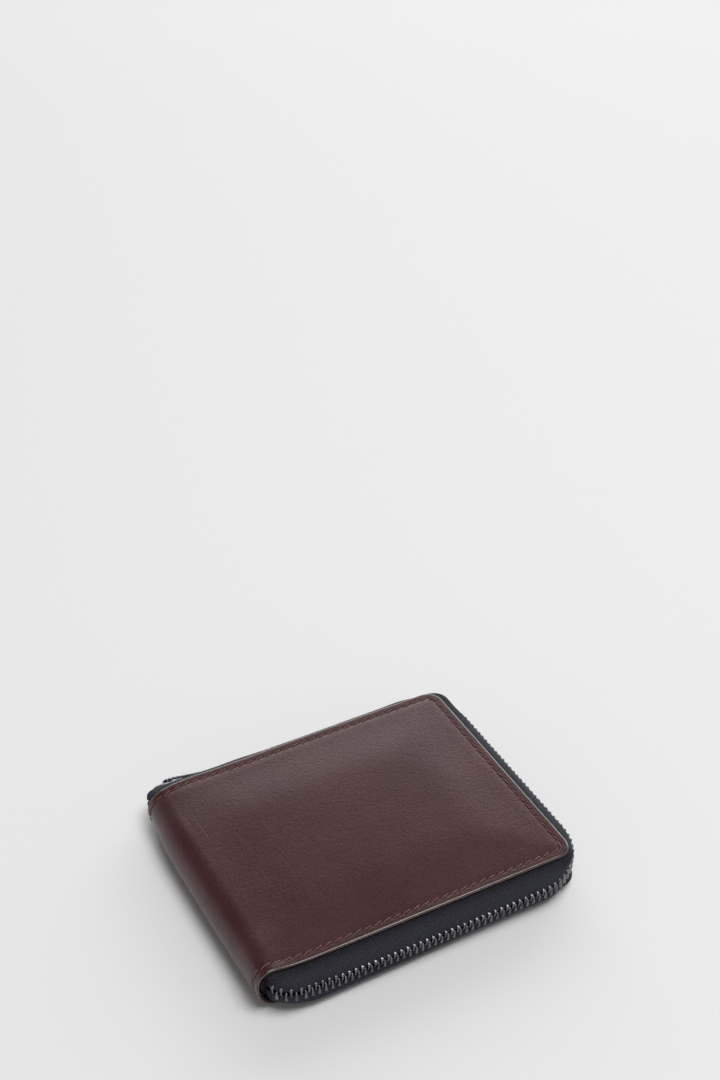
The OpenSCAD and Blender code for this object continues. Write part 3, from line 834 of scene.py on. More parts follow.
def sew(name, places, pitch, surface, radius, slant, thread_material):
    """Stitches and needle holes at places on a surface, which gives a point from (place, height)."""
    stitches, holes = Pile(), Pile()
    for at, step in places:
        across = Vector((-step.y, step.x))
        path = []
        for t, _ in STITCH_SHAPE:
            dip = (max(0.0, abs(t) - STITCH_LEVEL) / (1 - STITCH_LEVEL)) ** 2
            spot = at + step * (t * pitch * STITCH_SHARE) + across * (t * slant)
            path.append(surface(spot, radius * (STITCH_LIFT - STITCH_DIP * dip)))
        stitches.tube(wire_rings(path, [radius * w for _, w in STITCH_SHAPE], STITCH_SIDES))
        # Each needle hole is a flat disc on the surface, and its dark finish is painted shade in place of a
        # real hole.
        hole = at + step * (pitch / 2)
        ring = []
        for k in range(HOLE_SIDES):
            a = math.tau * k / HOLE_SIDES
            long, short = math.cos(a) * HOLE_LENGTH, math.sin(a) * HOLE_WIDTH + math.cos(a) * slant
            ring.append(surface(hole + step * long + across * short, HOLE_LIFT))
        holes.disc(ring)
    return stitches.piece(name, thread_material), holes.piece(name + "_holes", NEEDLE_HOLE_SHADE)


print("a stitch has", len(STITCH_SHAPE) * STITCH_SIDES, "points, a needle hole", HOLE_SIDES)

# %% [markdown]
# ### Seams of the covers
# The cover's seam lies in its groove, and the same heights that shaped the leather carry the stitches.
# Along the spine the back of the seam shows too, in the open end at the foot, so that stretch is sewn on
# the inside as well.

# %% Seams of the covers
SEAM_FLAT = SEAM_INSET - 0.3
SPINE_SEAM = BEND_RUN + 2
COVER_STITCH_R, COVER_STITCH_SLANT = 0.22, 0.4


def on_cover(side):
    def surface(spot, height):
        edge = min(spot.y - FOOT_Y, HEAD_Y - spot.y, SHEET_END - spot.x)
        return bent(spot.x, spot.y, cover_face(max(edge, SEAM_FLAT), spot.x, spot.y) + height, side)

    return surface


def behind_cover(side):
    def surface(spot, height):
        return bent(spot.x, spot.y, -LEATHER_T - height, side)

    return surface


spine_places = [(at, step) for at, step in seam_places if at.x < SPINE_SEAM]
for name, side in (("upper_seam", 1), ("lower_seam", -1)):
    for seam, places, surface in (
        (name, seam_places, on_cover(side)),
        (name + "_back", spine_places, behind_cover(side)),
    ):
        for piece in sew(seam, places, seam_pitch, surface, COVER_STITCH_R, COVER_STITCH_SLANT, COVER_THREAD):
            bend_with(piece, side)

# %% [markdown]
# ## The zip's line
# Tape, teeth and slider all follow one line in plan: in at the foot end, along the foot edge, round the
# fore corners, along the head edge and in again. A place on that line is a point and the direction that
# faces out.

# %% A place on the zip's line
FOOT_TURN_X, FOOT_TURN_R, FOOT_TURN = SPINE_X + 13.5, 7.5, math.radians(84)
FOOT_STRETCH = 1.35
HEAD_TURN_X, HEAD_TURN_R, HEAD_TURN = SPINE_X + 6.0, 3.0, math.radians(70)
ZIP_CORNER_R = 20.5
ZIP_FOOT, ZIP_HEAD, ZIP_FORE = FOOT_Y - ZIP_REACH, HEAD_Y + ZIP_REACH, FORE_X + ZIP_REACH
ZIP_CORNER_X = ZIP_FORE - ZIP_CORNER_R
FOOT_RUN = ZIP_CORNER_X - FOOT_TURN_X
CORNER_RUN = ZIP_CORNER_R * math.pi / 2
FORE_RUN = ZIP_HEAD - ZIP_FOOT - 2 * ZIP_CORNER_R
HEAD_RUN = ZIP_CORNER_X - HEAD_TURN_X
AT_FORE = FOOT_RUN + CORNER_RUN
AT_SECOND = AT_FORE + FORE_RUN
AT_HEAD = AT_SECOND + CORNER_RUN
AT_HEAD_TURN = AT_HEAD + HEAD_RUN
LINE_START = -FOOT_TURN * FOOT_TURN_R
LINE_END = AT_HEAD_TURN + HEAD_TURN * HEAD_TURN_R


def zip_place(s):
    """(point, outward direction) at a distance along the zip from the start of its straight foot edge."""
    if s < 0:
        angle = -math.pi / 2 + s / FOOT_TURN_R
        out = Vector((math.cos(angle), math.sin(angle)))
        turn = out * FOOT_TURN_R
        return Vector((FOOT_TURN_X + turn.x * FOOT_STRETCH, ZIP_FOOT + FOOT_TURN_R + turn.y)), out
    elif s < FOOT_RUN:
        return Vector((FOOT_TURN_X + s, ZIP_FOOT)), Vector((0, -1))
    elif s < AT_FORE:
        centre, r = (ZIP_CORNER_X, ZIP_FOOT + ZIP_CORNER_R), ZIP_CORNER_R
        angle = -math.pi / 2 + (s - FOOT_RUN) / ZIP_CORNER_R
    elif s < AT_SECOND:
        return Vector((ZIP_FORE, ZIP_FOOT + ZIP_CORNER_R + s - AT_FORE)), Vector((1, 0))
    elif s < AT_HEAD:
        centre, r = (ZIP_CORNER_X, ZIP_HEAD - ZIP_CORNER_R), ZIP_CORNER_R
        angle = (s - AT_SECOND) / ZIP_CORNER_R
    elif s < AT_HEAD_TURN:
        return Vector((ZIP_CORNER_X - (s - AT_HEAD), ZIP_HEAD)), Vector((0, 1))
    else:
        centre, r = (HEAD_TURN_X, ZIP_HEAD - HEAD_TURN_R), HEAD_TURN_R
        angle = math.pi / 2 + (s - AT_HEAD_TURN) / HEAD_TURN_R
    out = Vector((math.cos(angle), math.sin(angle)))
    return Vector(centre) + out * r, out


print("zip length", round(LINE_END - LINE_START, 1), "mm")

# %% [markdown]
# ### Where the tape is sewn
# The other edge of the tape lies under the leather and follows the leather's own, tighter corner. Each
# place on the zip's line has a partner there. Where the zip tucks into the spine at the foot, the two tapes
# walk in at different speeds, because the upper one is drawn further in.

# %% Where the tape is sewn
TUCKED_END = {1: 1.05, -1: 0.68}


def sheet_run(x):
    """Distance round the bend and along the cover to a place x."""
    if x >= BEND_X:
        return BEND_RUN + x - BEND_X
    return BEND_RUN - HALF_T * math.asin(min(1.0, (BEND_X - x) / HALF_T))


def leather_place(s, inset, side):
    """The point under the leather's edge that the tape at s is sewn to, and the way out from there."""
    straight = ZIP_CORNER_R - ZIP_REACH - CORNER_R
    arc = CORNER_R * math.pi / 2
    whole = 2 * straight + arc
    if s < FOOT_RUN:
        x = FOOT_TURN_X + s * (1.0 if s > 0 else TUCKED_END[side])
        return Vector((x, drawn_in(sheet_run(x), FOOT_Y) + inset)), Vector((0, -1))
    if s >= AT_HEAD:
        x = ZIP_CORNER_X - (s - AT_HEAD)
        return Vector((x, drawn_in(sheet_run(x), HEAD_Y) - inset)), Vector((0, 1))
    if AT_FORE <= s < AT_SECOND:
        return Vector((FORE_X - inset, ZIP_FOOT + ZIP_CORNER_R + s - AT_FORE)), Vector((1, 0))
    first = s < AT_FORE
    gone = (s - (FOOT_RUN if first else AT_SECOND)) / CORNER_RUN * whole
    gone = gone if first else whole - gone
    turn = min(math.pi / 2, max(0.0, (gone - straight) / CORNER_R))
    out = Vector((math.sin(turn), -math.cos(turn)))
    at = Vector((FORE_X - CORNER_R, FOOT_Y + CORNER_R)) + out * (CORNER_R - inset)
    at.x += min(0.0, gone - straight)
    at.y += max(0.0, gone - straight - arc)
    if not first:
        at.y, out.y = FOOT_Y + HEAD_Y - at.y, -out.y
    return at, out


half_way = leather_place(AT_FORE + FORE_RUN / 2, 0.0, 1)[0]
print("the tape comes out at the fore edge at", [round(c, 1) for c in half_way], "mm")

# %% [markdown]
# ### How the zip leans and sags
# A closed zip isn't a stiff hoop. Its rows lean under the swell of the tape, bow out along the fore edge,
# sag along the foot edge and rise where they tuck into the spine. The tape and the teeth use the same
# shifts, so they stay together.

# %% How the zip leans and sags
# Each stretch of the line: how much, where that begins and where it ends.
FOOT_LEAN = (math.radians(9), (4, 26), (FOOT_RUN - 6, AT_FORE))
HEAD_LEAN = (math.radians(-12), (AT_HEAD - 8, AT_HEAD + 12), (AT_HEAD_TURN - 36, AT_HEAD_TURN - 16))
FORE_PUSH = (0.35, (FOOT_RUN, AT_FORE), (AT_SECOND, AT_HEAD))
FOOT_SAG = (1.1, (-2, 18), (60, AT_FORE))
HOOK_LIFT, HOOK_END = 1.2, (-9, 1)


def on_stretch(s, amount, begins, ends):
    return amount * smooth_step(s, *begins) * (1 - smooth_step(s, *ends))


def chain_lean(s):
    """The rows lean under the swell of the upper tape along the foot, and the other way along the head."""
    return on_stretch(s, *FOOT_LEAN) + on_stretch(s, *HEAD_LEAN)


def chain_shift(s):
    """The rows bow out along the fore edge, sag a little along the foot edge and rise into the spine's open
    end. Gives (out, up)."""
    lift = HOOK_LIFT * (1 - smooth_step(s, *HOOK_END))
    return on_stretch(s, *FORE_PUSH), lift - on_stretch(s, *FOOT_SAG)


def chain_point(s, out, height, side):
    """A point beside the zip's line: out from it and up from its middle, with the rows' lean."""
    at, away = zip_place(s)
    lean = chain_lean(s)
    push, lift = chain_shift(s)
    up = side * height
    spot = at + away * (push + out * math.cos(lean) + up * math.sin(lean))
    return Vector((spot.x, spot.y, MIDDLE_Z + lift + up * math.cos(lean) - out * math.sin(lean)))


print("lean of the rows in degrees:", [round(math.degrees(lean[0])) for lean in (FOOT_LEAN, HEAD_LEAN)])

# %% [markdown]
# ## Zip tape
# Each tape comes out from under the leather, swells out and turns down to the teeth. Its section is a
# quarter of an ellipse between two points: one under the leather's edge and one on the zip's line. The two
# points walk along their own lines, so the tape fills the corners and tucks into the open end of the spine
# by itself.

# %% Section of the tape
SEWN_INSET, TUCK, TAPE_GAP = 5.0, 1.2, 0.05
LOWEST_TAPE = 2.0
TAPE_TURN_V = 2.6
BEAD_VS = (1.9, 1.4, 0.9)
SECTION_STEP = 0.13
CORNER_SWELL = 1.3
HEAD_CORNER = AT_SECOND + 0.43 * CORNER_RUN
HEAD_CORNER_SWELL, HEAD_CORNER_WIDTH = 3.2, 0.2 * CORNER_RUN
LOWER_SWELL = (2.3, (-6, 4), (FOOT_RUN, AT_FORE))
LOWER_FADE, LOWER_FADE_RUN = 0.5, (20, 80)
FOOT_FULL, FORE_FULL, CORNER_FULL = 0.86, 0.3, 0.3
HEAD_FULL, HEAD_FULL_AT, HEAD_FULL_WIDTH = 0.1, AT_HEAD + 15, 14
BELLY_SCALE = 2.6
RISE_POWER = 1.1


def under_leather(x, y, side):
    """Height of the tape under the leather, which falls with the bend of the spine."""
    into = max(0.0, BEND_X - x)
    run = sheet_run(x)
    inner = HALF_T - LEATHER_T - TAPE_T / 2 - TAPE_GAP + spine_swell(run, y, side) - head_droop(run, y)
    return math.sqrt(max(inner * inner - into * into, LOWEST_TAPE**2))


def tape_fullness(s):
    """How round the tape swells: full along the foot edge, flatter round the fore and head edges."""
    fore = FORE_FULL * smooth_step(s, FOOT_RUN, AT_FORE)
    corner = CORNER_FULL * hill(s, HEAD_CORNER, CORNER_RUN / 3)
    return FOOT_FULL + fore - corner - HEAD_FULL * hill(s, HEAD_FULL_AT, HEAD_FULL_WIDTH)


def lower_swell(s):
    """The lower tape bellies out under the teeth, most near the tucked-in end."""
    return on_stretch(s, *LOWER_SWELL) * (1 - LOWER_FADE * smooth_step(s, *LOWER_FADE_RUN))


def tape_section(s, side):
    sewn, out = leather_place(s, SEWN_INSET, side)
    tuck, _ = leather_place(s, TUCK, side)
    high = under_leather(tuck.x, tuck.y, side)
    turn = chain_point(s, 0.0, TAPE_TURN_V, side)
    level = side * (turn.z - MIDDLE_Z)
    corner = max(0.0, out.x * abs(out.y) * 2)
    swell = corner * CORNER_SWELL + (lower_swell(s) if side < 0 else 0.0)
    if s > AT_SECOND:
        out = zip_place(s)[1]
        swell = HEAD_CORNER_SWELL * hill(s, HEAD_CORNER, HEAD_CORNER_WIDTH)
    full = tape_fullness(s)
    points = [Vector((sewn.x, sewn.y, MIDDLE_Z + side * high))]
    for a in spread(math.pi / 2, 0.0, SECTION_STEP):
        belly = swell * BELLY_SCALE * math.sin(a) ** 2 * math.cos(a)
        spot = tuck + (turn.xy - tuck) * math.cos(a) ** full + out * belly
        rise = level + (high - level) * math.sin(a) ** (full * RISE_POWER)
        points.append(Vector((spot.x, spot.y, MIDDLE_Z + side * rise)))
    return points + [chain_point(s, 0.0, v, side) for v in BEAD_VS]


print("points in a section of the tape:", len(tape_section(0.0, 1)))

# %% [markdown]
# ### Tape of each row
# A tape is its section at many stops along the line, close together in the turns and wide apart on the
# straights. It also keeps its length and width at each point, in millimetres, and the woven finish follows
# those.

# %% Tape of each row
TAPE_STEPS = (
    (LINE_START, 0.0, 0.7),
    (0.0, FOOT_RUN, 3.0),
    (FOOT_RUN, AT_FORE, 0.9),
    (AT_FORE, AT_SECOND, 3.0),
    (AT_SECOND, AT_HEAD, 0.9),
    (AT_HEAD, AT_HEAD_TURN, 3.0),
    (AT_HEAD_TURN, LINE_END, 0.4),
)


def zip_tape(name, side, body, node):
    points, weave = [], []
    stops = [LINE_START]
    for first, last, step in TAPE_STEPS:
        stops += spread(first, last, step)[1:]
    for s in stops:
        section = tape_section(s, side)
        across = 0.0
        for k, p in enumerate(section):
            across += (p - section[k - 1]).length if k else 0.0
            points.append(p)
            weave.append((s, across))
    piece = make_piece(name, points, grid_faces(len(stops), len(section)), [ZIP_TAPE], weave=weave)
    thicken(piece, TAPE_T)
    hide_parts(node)
    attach(piece, body)


zip_tape("upper_tape", 1, "upper_half", "upper_zip_tape")
zip_tape("lower_tape", -1, "lower_half", "lower_zip_tape")

# %% [markdown]
# ## Teeth
# A metal tooth is a small casting: two legs that grip the tape's bead, a neck, and a head that reaches past
# the middle into the gap of the other row. It is a loft of rounded rectangles from the ends of the legs to
# the head.

# %% Rows of teeth
TOOTH_PITCH = 2.4
ROW_START = LINE_START + 3.0
ROW_HEAD_X = SPINE_X + 12.0
ROW_END = AT_HEAD + ZIP_CORNER_X - ROW_HEAD_X
# Height above the middle, half the size outward and half the size along the row.
TOOTH_SECTIONS = [
    (2.80, 0.62, 0.36),
    (2.70, 0.92, 0.50),
    (2.40, 1.04, 0.54),
    (1.7, 1.05, 0.50),
    (1.1, 0.98, 0.40),
    (0.6, 0.86, 0.30),
    (0.15, 0.84, 0.30),
    (-0.3, 0.82, 0.36),
    (-0.6, 0.70, 0.30),
    (-0.72, 0.42, 0.18),
]


def rounded_ring(half_out, half_along, share=0.35):
    """Eight corners of a rectangle with cut corners."""
    cut = share * min(half_out, half_along)
    quarter = [(half_out, half_along - cut), (half_out - cut, half_along)]
    ring = []
    for so, sa, order in ((1, 1, 1), (-1, 1, -1), (-1, -1, 1), (1, -1, -1)):
        ring += [(so * o, sa * a) for o, a in quarter[::order]]
    return ring


def teeth(name, side, shift, body, node):
    row = Pile()
    for i in range(math.floor((ROW_END - ROW_START) / TOOTH_PITCH)):
        s = ROW_START + shift + i * TOOTH_PITCH
        _, away = zip_place(s)
        along = Vector((-away.y, away.x, 0))
        rings = []
        for height, half_out, half_along in TOOTH_SECTIONS:
            rings.append(
                [chain_point(s, o, height, side) + along * a for o, a in rounded_ring(half_out, half_along)]
            )
        row.tube(rings)
    piece = row.piece(name, TOOTH_METAL)
    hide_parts(node)
    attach(piece, body)


teeth("upper_teeth", 1, 0.0, "upper_half", "upper_zip_teeth")
teeth("lower_teeth", -1, TOOTH_PITCH / 2, "lower_half", "lower_zip_teeth")

# %% [markdown]
# ### Stops
# The stops are plain clamps whose solids already have the right shape, so they keep them. A small bevel
# takes the hard look off their edges, as tumbling does on the real ones. The same goes for the coin zip's
# slider.

# %% Metal pieces that keep their solids
STOP_BEVEL, COIN_SLIDER_BEVEL = 0.2, 0.15
BEVEL_STEPS, BEVEL_ANGLE = 3, math.radians(30)


def dress_solid(node, material, bevel):
    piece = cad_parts[node]
    piece.data.materials.clear()
    piece.data.materials.append(material)
    edge = piece.modifiers.new("tumbled_edges", "BEVEL")
    edge.width = bevel * MM
    edge.segments = BEVEL_STEPS
    edge.limit_method = "ANGLE"
    edge.angle_limit = BEVEL_ANGLE


for node in ("lower_top_stop", "upper_top_stop", "zip_bottom_stop"):
    dress_solid(node, TOOTH_METAL, STOP_BEVEL)
for node in ("coin_slider_body", "coin_slider_pull"):
    dress_solid(node, SLIDER_METAL, COIN_SLIDER_BEVEL)
print("solids dressed")

# %% [markdown]
# ## Slider
# A slider is cast: its outer plate is a low dome with edges that curl in over the teeth, the inner plate is
# flat, and a thin post holds the two apart. The plates are lofted from nose to tail, since the width
# changes all the way along.

# %% Slider
SLIDER_LOW, SLIDER_HIGH = box_mm("slider_body")
# Distance from the nose and half the width there.
SLIDER_HALVES = [(0.0, 1.6), (0.25, 2.4), (0.7, 3.0), (1.5, 3.5), (3.0, 3.7), (5.0, 3.6)]
SLIDER_HALVES += [(6.6, 3.35), (8.2, 3.15), (10.2, 3.1), (10.7, 2.8), (11.0, 2.2)]
PLATE_STEPS = [-1.0, -0.93, -0.82, -0.65, -0.4, 0.0, 0.4, 0.65, 0.82, 0.93, 1.0]
PLATE_T, PLATE_INSIDE = 0.6, 0.97
DOME_DROP, DOME_POWER = 1.9, 4.5
INNER_PLATE_T, INNER_PLATE_SHARE = 0.95, 0.76
POST_X, POST_HALF_T, POST_HALF = SLIDER_LOW[0] + 2.0, 0.12, 1.4
POST_YS = (SLIDER_LOW[1] + 0.5, SLIDER_HIGH[1] - 0.4)


def plate_rings(y_outer, y_inner, share, drop):
    """Rings across a plate along the slider, from its nose to its tail. Its edges fall away by drop."""
    rings = []
    for at, half in SLIDER_HALVES:
        x = SLIDER_LOW[0] + at
        outer = [(y_outer - drop * abs(w) ** DOME_POWER, w * half * share) for w in PLATE_STEPS]
        inner = [(y - (y_outer - y_inner), z * PLATE_INSIDE) for y, z in reversed(outer)]
        rings.append([(x, y, MIDDLE_Z + z) for y, z in outer + inner])
    return rings


casting = Pile()
casting.tube(plate_rings(SLIDER_HIGH[1], SLIDER_HIGH[1] - PLATE_T, 1.0, DOME_DROP))
casting.tube(plate_rings(SLIDER_LOW[1] + INNER_PLATE_T, SLIDER_LOW[1], INNER_PLATE_SHARE, 0.0))
post = rounded_ring(POST_HALF_T, POST_HALF)
casting.tube([[(POST_X + a, y, MIDDLE_Z + o) for o, a in post] for y in POST_YS])
slider_casting = casting.piece("slider_casting", SLIDER_METAL)
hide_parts("slider_body")
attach(slider_casting, "zip_slider")

# %% [markdown]
# ### Strap
# A strap over the outer plate holds the near bar of the loop. It is a flat band that goes up, round the bar
# and down again. The pull below is a band of the same kind, so one helper makes the rings of both.

# %% Strap
BRIDGE_LOW, BRIDGE_HIGH = box_mm("slider_bridge")
TAB_LOW, TAB_HIGH = box_mm("pull_tab")
BAR_X = (BRIDGE_LOW[0] + BRIDGE_HIGH[0]) / 2
BAR_Y = (TAB_LOW[1] + TAB_HIGH[1]) / 2
STRAP_T, STRAP_HALF = 0.6, 1.0
STRAP_R = BRIDGE_HIGH[1] - BAR_Y - STRAP_T / 2
STRAP_LAP, STRAP_STEP = 0.2, 0.5
STRAP_CUT = 0.5


def strap_rings(path, half_t, half_w, middle):
    """Rings of a flat strap that follows a path of (x, y) points, with a width and a height at each x."""
    rings = []
    for i, (x, y) in enumerate(path):
        before, after = path[max(i - 1, 0)], path[min(i + 1, len(path) - 1)]
        across = Vector((before[1] - after[1], after[0] - before[0])).normalized()
        section = rounded_ring(half_t, half_w(x), STRAP_CUT)
        rings.append([(x + across.x * o, y + across.y * o, middle(x) + w) for o, w in section])
    return rings


leg = spread(SLIDER_HIGH[1] - STRAP_LAP, BAR_Y, STRAP_STEP)
strap_path = [(BAR_X - STRAP_R, y) for y in leg]
for a in spread(0.0, math.pi, ARC_STEP)[1:-1]:
    strap_path.append((BAR_X - STRAP_R * math.cos(a), BAR_Y + STRAP_R * math.sin(a)))
strap_path += [(BAR_X + STRAP_R, y) for y in reversed(leg)]
strap = Pile()
strap.tube(strap_rings(strap_path, STRAP_T / 2, lambda x: STRAP_HALF, lambda x: MIDDLE_Z))
slider_strap = strap.piece("slider_strap", SLIDER_METAL)
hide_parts("slider_bridge")
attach(slider_strap, "zip_slider")

# %% [markdown]
# ### Loop
# The loop is a bent wire, a little wider at the far end where it takes the leather of the pull. A bevelled
# curve would do as well. Rings round its line give the same tube, and its corners stay under control.

# %% Loop
WIRE_R, WIRE_SIDES = 0.55, 10
LOOP_LENGTH, LOOP_NEAR, LOOP_FAR = 13.0, 2.2, 3.4
LOOP_CORNER, LOOP_CORNER_STEPS = 1.0, 6
LOOP_DROP = math.radians(16)


def loop_path():
    """The loop's wire as a closed line with round corners, hung below level from its near bar."""
    near, far = [(0, -LOOP_NEAR), (0, LOOP_NEAR)], [(LOOP_LENGTH, -LOOP_FAR), (LOOP_LENGTH, LOOP_FAR)]
    corners = [Vector(c) for c in (near[0], far[0], far[1], near[1])]
    line = []
    for i, corner in enumerate(corners):
        before, after = corners[i - 1] - corner, corners[(i + 1) % 4] - corner
        start, end = corner + before.normalized() * LOOP_CORNER, corner + after.normalized() * LOOP_CORNER
        for k in range(LOOP_CORNER_STEPS + 1):
            t = k / LOOP_CORNER_STEPS
            line.append(start * (1 - t) ** 2 + corner * (2 * t * (1 - t)) + end * t * t)
    turn = Matrix.Rotation(-LOOP_DROP, 2)
    line = [turn @ p for p in line]
    return [(BAR_X + p.x, BAR_Y, MIDDLE_Z + p.y) for p in line]


loop_line = loop_path()
wire_loop = Pile()
wire_loop.tube(wire_rings(loop_line, [WIRE_R] * len(loop_line), WIRE_SIDES), closed=True)
pull_wire = wire_loop.piece("pull_wire", LOOP_METAL)
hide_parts("pull_loop")
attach(pull_wire, "zip_pull")

# %% [markdown]
# ## Pull tab
# The pull is a strip of leather folded over the far bar of the loop, with its two ends sewn together. The
# strip is one tube of rounded rectangles that follows the fold: out along the outer layer, round the bar
# and back along the inner layer. It widens from the neck in the loop to the blade, and arches a little.

# %% Pull tab
TAB_Z = (TAB_LOW[2] + TAB_HIGH[2]) / 2
TAB_LAYER = 1.0
TAB_SLIT = 0.02
TAB_FOLD_R = (TAB_HIGH[1] - TAB_LOW[1]) / 2 - TAB_LAYER / 2
TAB_FOLD_X = TAB_LOW[0] + TAB_FOLD_R + TAB_LAYER / 2
TAB_TIP = TAB_HIGH[0]
TAB_BLADE_HALF = (TAB_HIGH[2] - TAB_LOW[2]) / 2
TAB_NECK_HALF = 2.1
TAB_NECK_END, TAB_BLADE_START = TAB_FOLD_X + 2.6, TAB_FOLD_X + 6.2
TAB_CLOSED = TAB_FOLD_X + 4.0
TAB_ARCH = 0.6
TIP_TRIM, TIP_STEPS, TIP_END = 0.02, (0.0, 0.12, 0.4, 0.9, 1.6, 2.6, 3.8), 4.5
TAB_STEP, TAB_FOLD_GAP, TAB_FOLD_STEP = 1.2, 0.4, math.pi / 12
SMALLEST_SQUARE = 0.05


def tab_half_width(x):
    wide = smooth_step(x, TAB_NECK_END, TAB_BLADE_START)
    half = TAB_NECK_HALF + (TAB_BLADE_HALF - TAB_NECK_HALF) * wide
    short = TAB_BLADE_HALF - (TAB_TIP - x)
    return half if short <= 0 else math.sqrt(max(SMALLEST_SQUARE, half * half - short * short))


def tab_arch(x):
    t = (x - TAB_FOLD_X) / (TAB_TIP - TAB_FOLD_X)
    return TAB_ARCH * math.sin(math.pi * min(1.0, max(0.0, t)))


def tab_layer_y(x):
    """The layers leave the fold a little apart and close up along the neck."""
    apart = 1 - smooth_step(x, TAB_FOLD_X, TAB_CLOSED)
    return TAB_LAYER / 2 + TAB_SLIT + (TAB_FOLD_R - TAB_LAYER / 2) * apart


def tab_path():
    tip = TAB_TIP - TIP_TRIM
    xs = [tip - d for d in TIP_STEPS] + spread(tip - TIP_END, TAB_FOLD_X + TAB_FOLD_GAP, TAB_STEP)
    outer = [(x, BAR_Y + tab_layer_y(x)) for x in xs]
    turns = spread(0.0, math.pi, TAB_FOLD_STEP)
    fold = [(TAB_FOLD_X + TAB_FOLD_R * math.sin(-a), BAR_Y + TAB_FOLD_R * math.cos(a)) for a in turns]
    return outer + fold + [(x, 2 * BAR_Y - y) for x, y in reversed(outer)]


strip = Pile()
strip.tube(strap_rings(tab_path(), TAB_LAYER / 2, tab_half_width, lambda x: TAB_Z + tab_arch(x)))
pull_strip = strip.piece("pull_strip", COVER_LEATHER)
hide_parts("pull_tab")
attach(pull_strip, "zip_pull")

# %% [markdown]
# ### Stitches of the pull
# The two layers are sewn together along the blade, with the cover's thread. The same helper that sewed the
# cover sews both faces here. It only needs to know where a place on the flat blade lies in the room.

# %% Stitches of the pull
TAB_SEAM_INSET, TAB_SEAM_START = 1.0, TAB_FOLD_X + 7.0
TAB_STITCH_PITCH, TAB_STITCH_R, TAB_STITCH_SLANT = 3.0, 0.2, 0.2


def tab_seam():
    """Down one side of the blade, round its tip and back."""
    end = TAB_TIP - TAB_BLADE_HALF
    r = TAB_BLADE_HALF - TAB_SEAM_INSET
    line = [(x, -r) for x in spread(TAB_SEAM_START, end, LINE_STEP)]
    line += [(end + r * math.sin(a), -r * math.cos(a)) for a in spread(0.0, math.pi, ARC_STEP)[1:]]
    return [Vector(p) for p in line + [(x, r) for x in spread(end, TAB_SEAM_START, LINE_STEP)[1:]]]


def on_tab(side):
    def surface(spot, height):
        return (spot.x, BAR_Y + side * (TAB_LAYER + TAB_SLIT + height), TAB_Z + tab_arch(spot.x) + spot.y)

    return surface


tab_places, tab_pitch = along_line(tab_seam(), TAB_STITCH_PITCH)
for name, side in (("pull_outer_seam", 1), ("pull_inner_seam", -1)):
    for piece in sew(name, tab_places, tab_pitch, on_tab(side), TAB_STITCH_R, TAB_STITCH_SLANT, COVER_THREAD):
        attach(piece, "zip_pull")

# %% [markdown]
# ## Pockets
# Inside the upper cover a slip pocket and four card slots lie over each other like roof tiles. Each is a
# sheet of thin leather with a turned edge at its mouth. The sheet is a grid on its solid's box: the mouth
# swells a little where the leather is folded back, and the middle bows out as leather over an empty pocket
# does.

# %% A panel over its solid
PANEL_EDGE = [0, 0.15, 0.35, 0.7, 1.2, 2.0, 3.2]
PANEL_STEP = 3.0
PANEL_ROUND, PANEL_THINNED = 0.4, 0.3
MOUTH_SWELL, MOUTH_AT, MOUTH_WIDTH = 0.12, 1.8, 1.3
PANEL_BOW, BOW_FADE = 0.16, (0.3, 8.0)
THREAD_LIFT = 0.02


def panel_lines(low, high):
    inside = spread(low + PANEL_EDGE[-1], high - PANEL_EDGE[-1], PANEL_STEP)[1:-1]
    return [low + e for e in PANEL_EDGE] + inside + [high - e for e in reversed(PANEL_EDGE)]


def panel(name, node, up, mouth, materials, weave=False):
    """A closed sheet over a solid's box. up is 1 where the face looks up and -1 where it looks down. mouth is
    1 for a mouth on the head side, -1 for one on the foot side and 0 for none."""
    low, high = box_mm(node)
    xs, ys = panel_lines(low[0], high[0]), panel_lines(low[1], high[1])
    face, back = (high[2], low[2]) if up > 0 else (low[2], high[2])
    thinned = PANEL_THINNED * abs(face - back)
    points = []
    for level in (face, back):
        for x in xs:
            for y in ys:
                edge = min(x - low[0], high[0] - x, y - low[1], high[1] - y)
                to_mouth = (high[1] - y) if mouth > 0 else (y - low[1])
                inside = smooth_step(edge, 0.0, PANEL_ROUND)
                height = -thinned * (1 - inside)
                if level == face and mouth:
                    height += MOUTH_SWELL * hill(to_mouth, MOUTH_AT, MOUTH_WIDTH) * inside
                if level == face:
                    bow = math.sin(math.pi * (x - low[0]) / (high[0] - low[0]))
                    height += PANEL_BOW * bow * smooth_step(edge, *BOW_FADE)
                points.append((x, y, level + up * height * (1 if level == face else -1)))
    rows, columns = len(xs), len(ys)
    half = rows * columns
    loop = three_edges(rows, columns) + list(range(columns - 2, 0, -1))
    faces = grid_faces(rows, columns) + grid_faces(rows, columns, half)
    picks = [FACE] * (len(faces) // 2) + [BACK] * (len(faces) // 2)
    for a, b in zip(loop, loop[1:] + loop[:1]):
        faces.append([a, b, half + b, half + a])
        picks.append(RIM)
    made = make_piece(name, points, faces, materials, picks, [p[:2] for p in points] if weave else None)
    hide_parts(node)
    return made


def on_panel(node, up):
    """A surface for stitches on a panel, as (x, y) and height."""
    low, high = box_mm(node)
    level = high[2] if up > 0 else low[2]

    def surface(spot, height):
        return (spot.x, spot.y, level + up * (height + THREAD_LIFT))

    return surface


def hold(pieces, slot, body):
    for piece in pieces:
        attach(piece, body)


print("a panel's edge is round over", PANEL_ROUND, "mm")

# %% [markdown]
# ### Card slots
# Each slot is sewn along its mouth, so that the turned edge stays down. The front slot is sewn round its
# other three sides instead, through all the layers below it, and that seam closes the pockets.

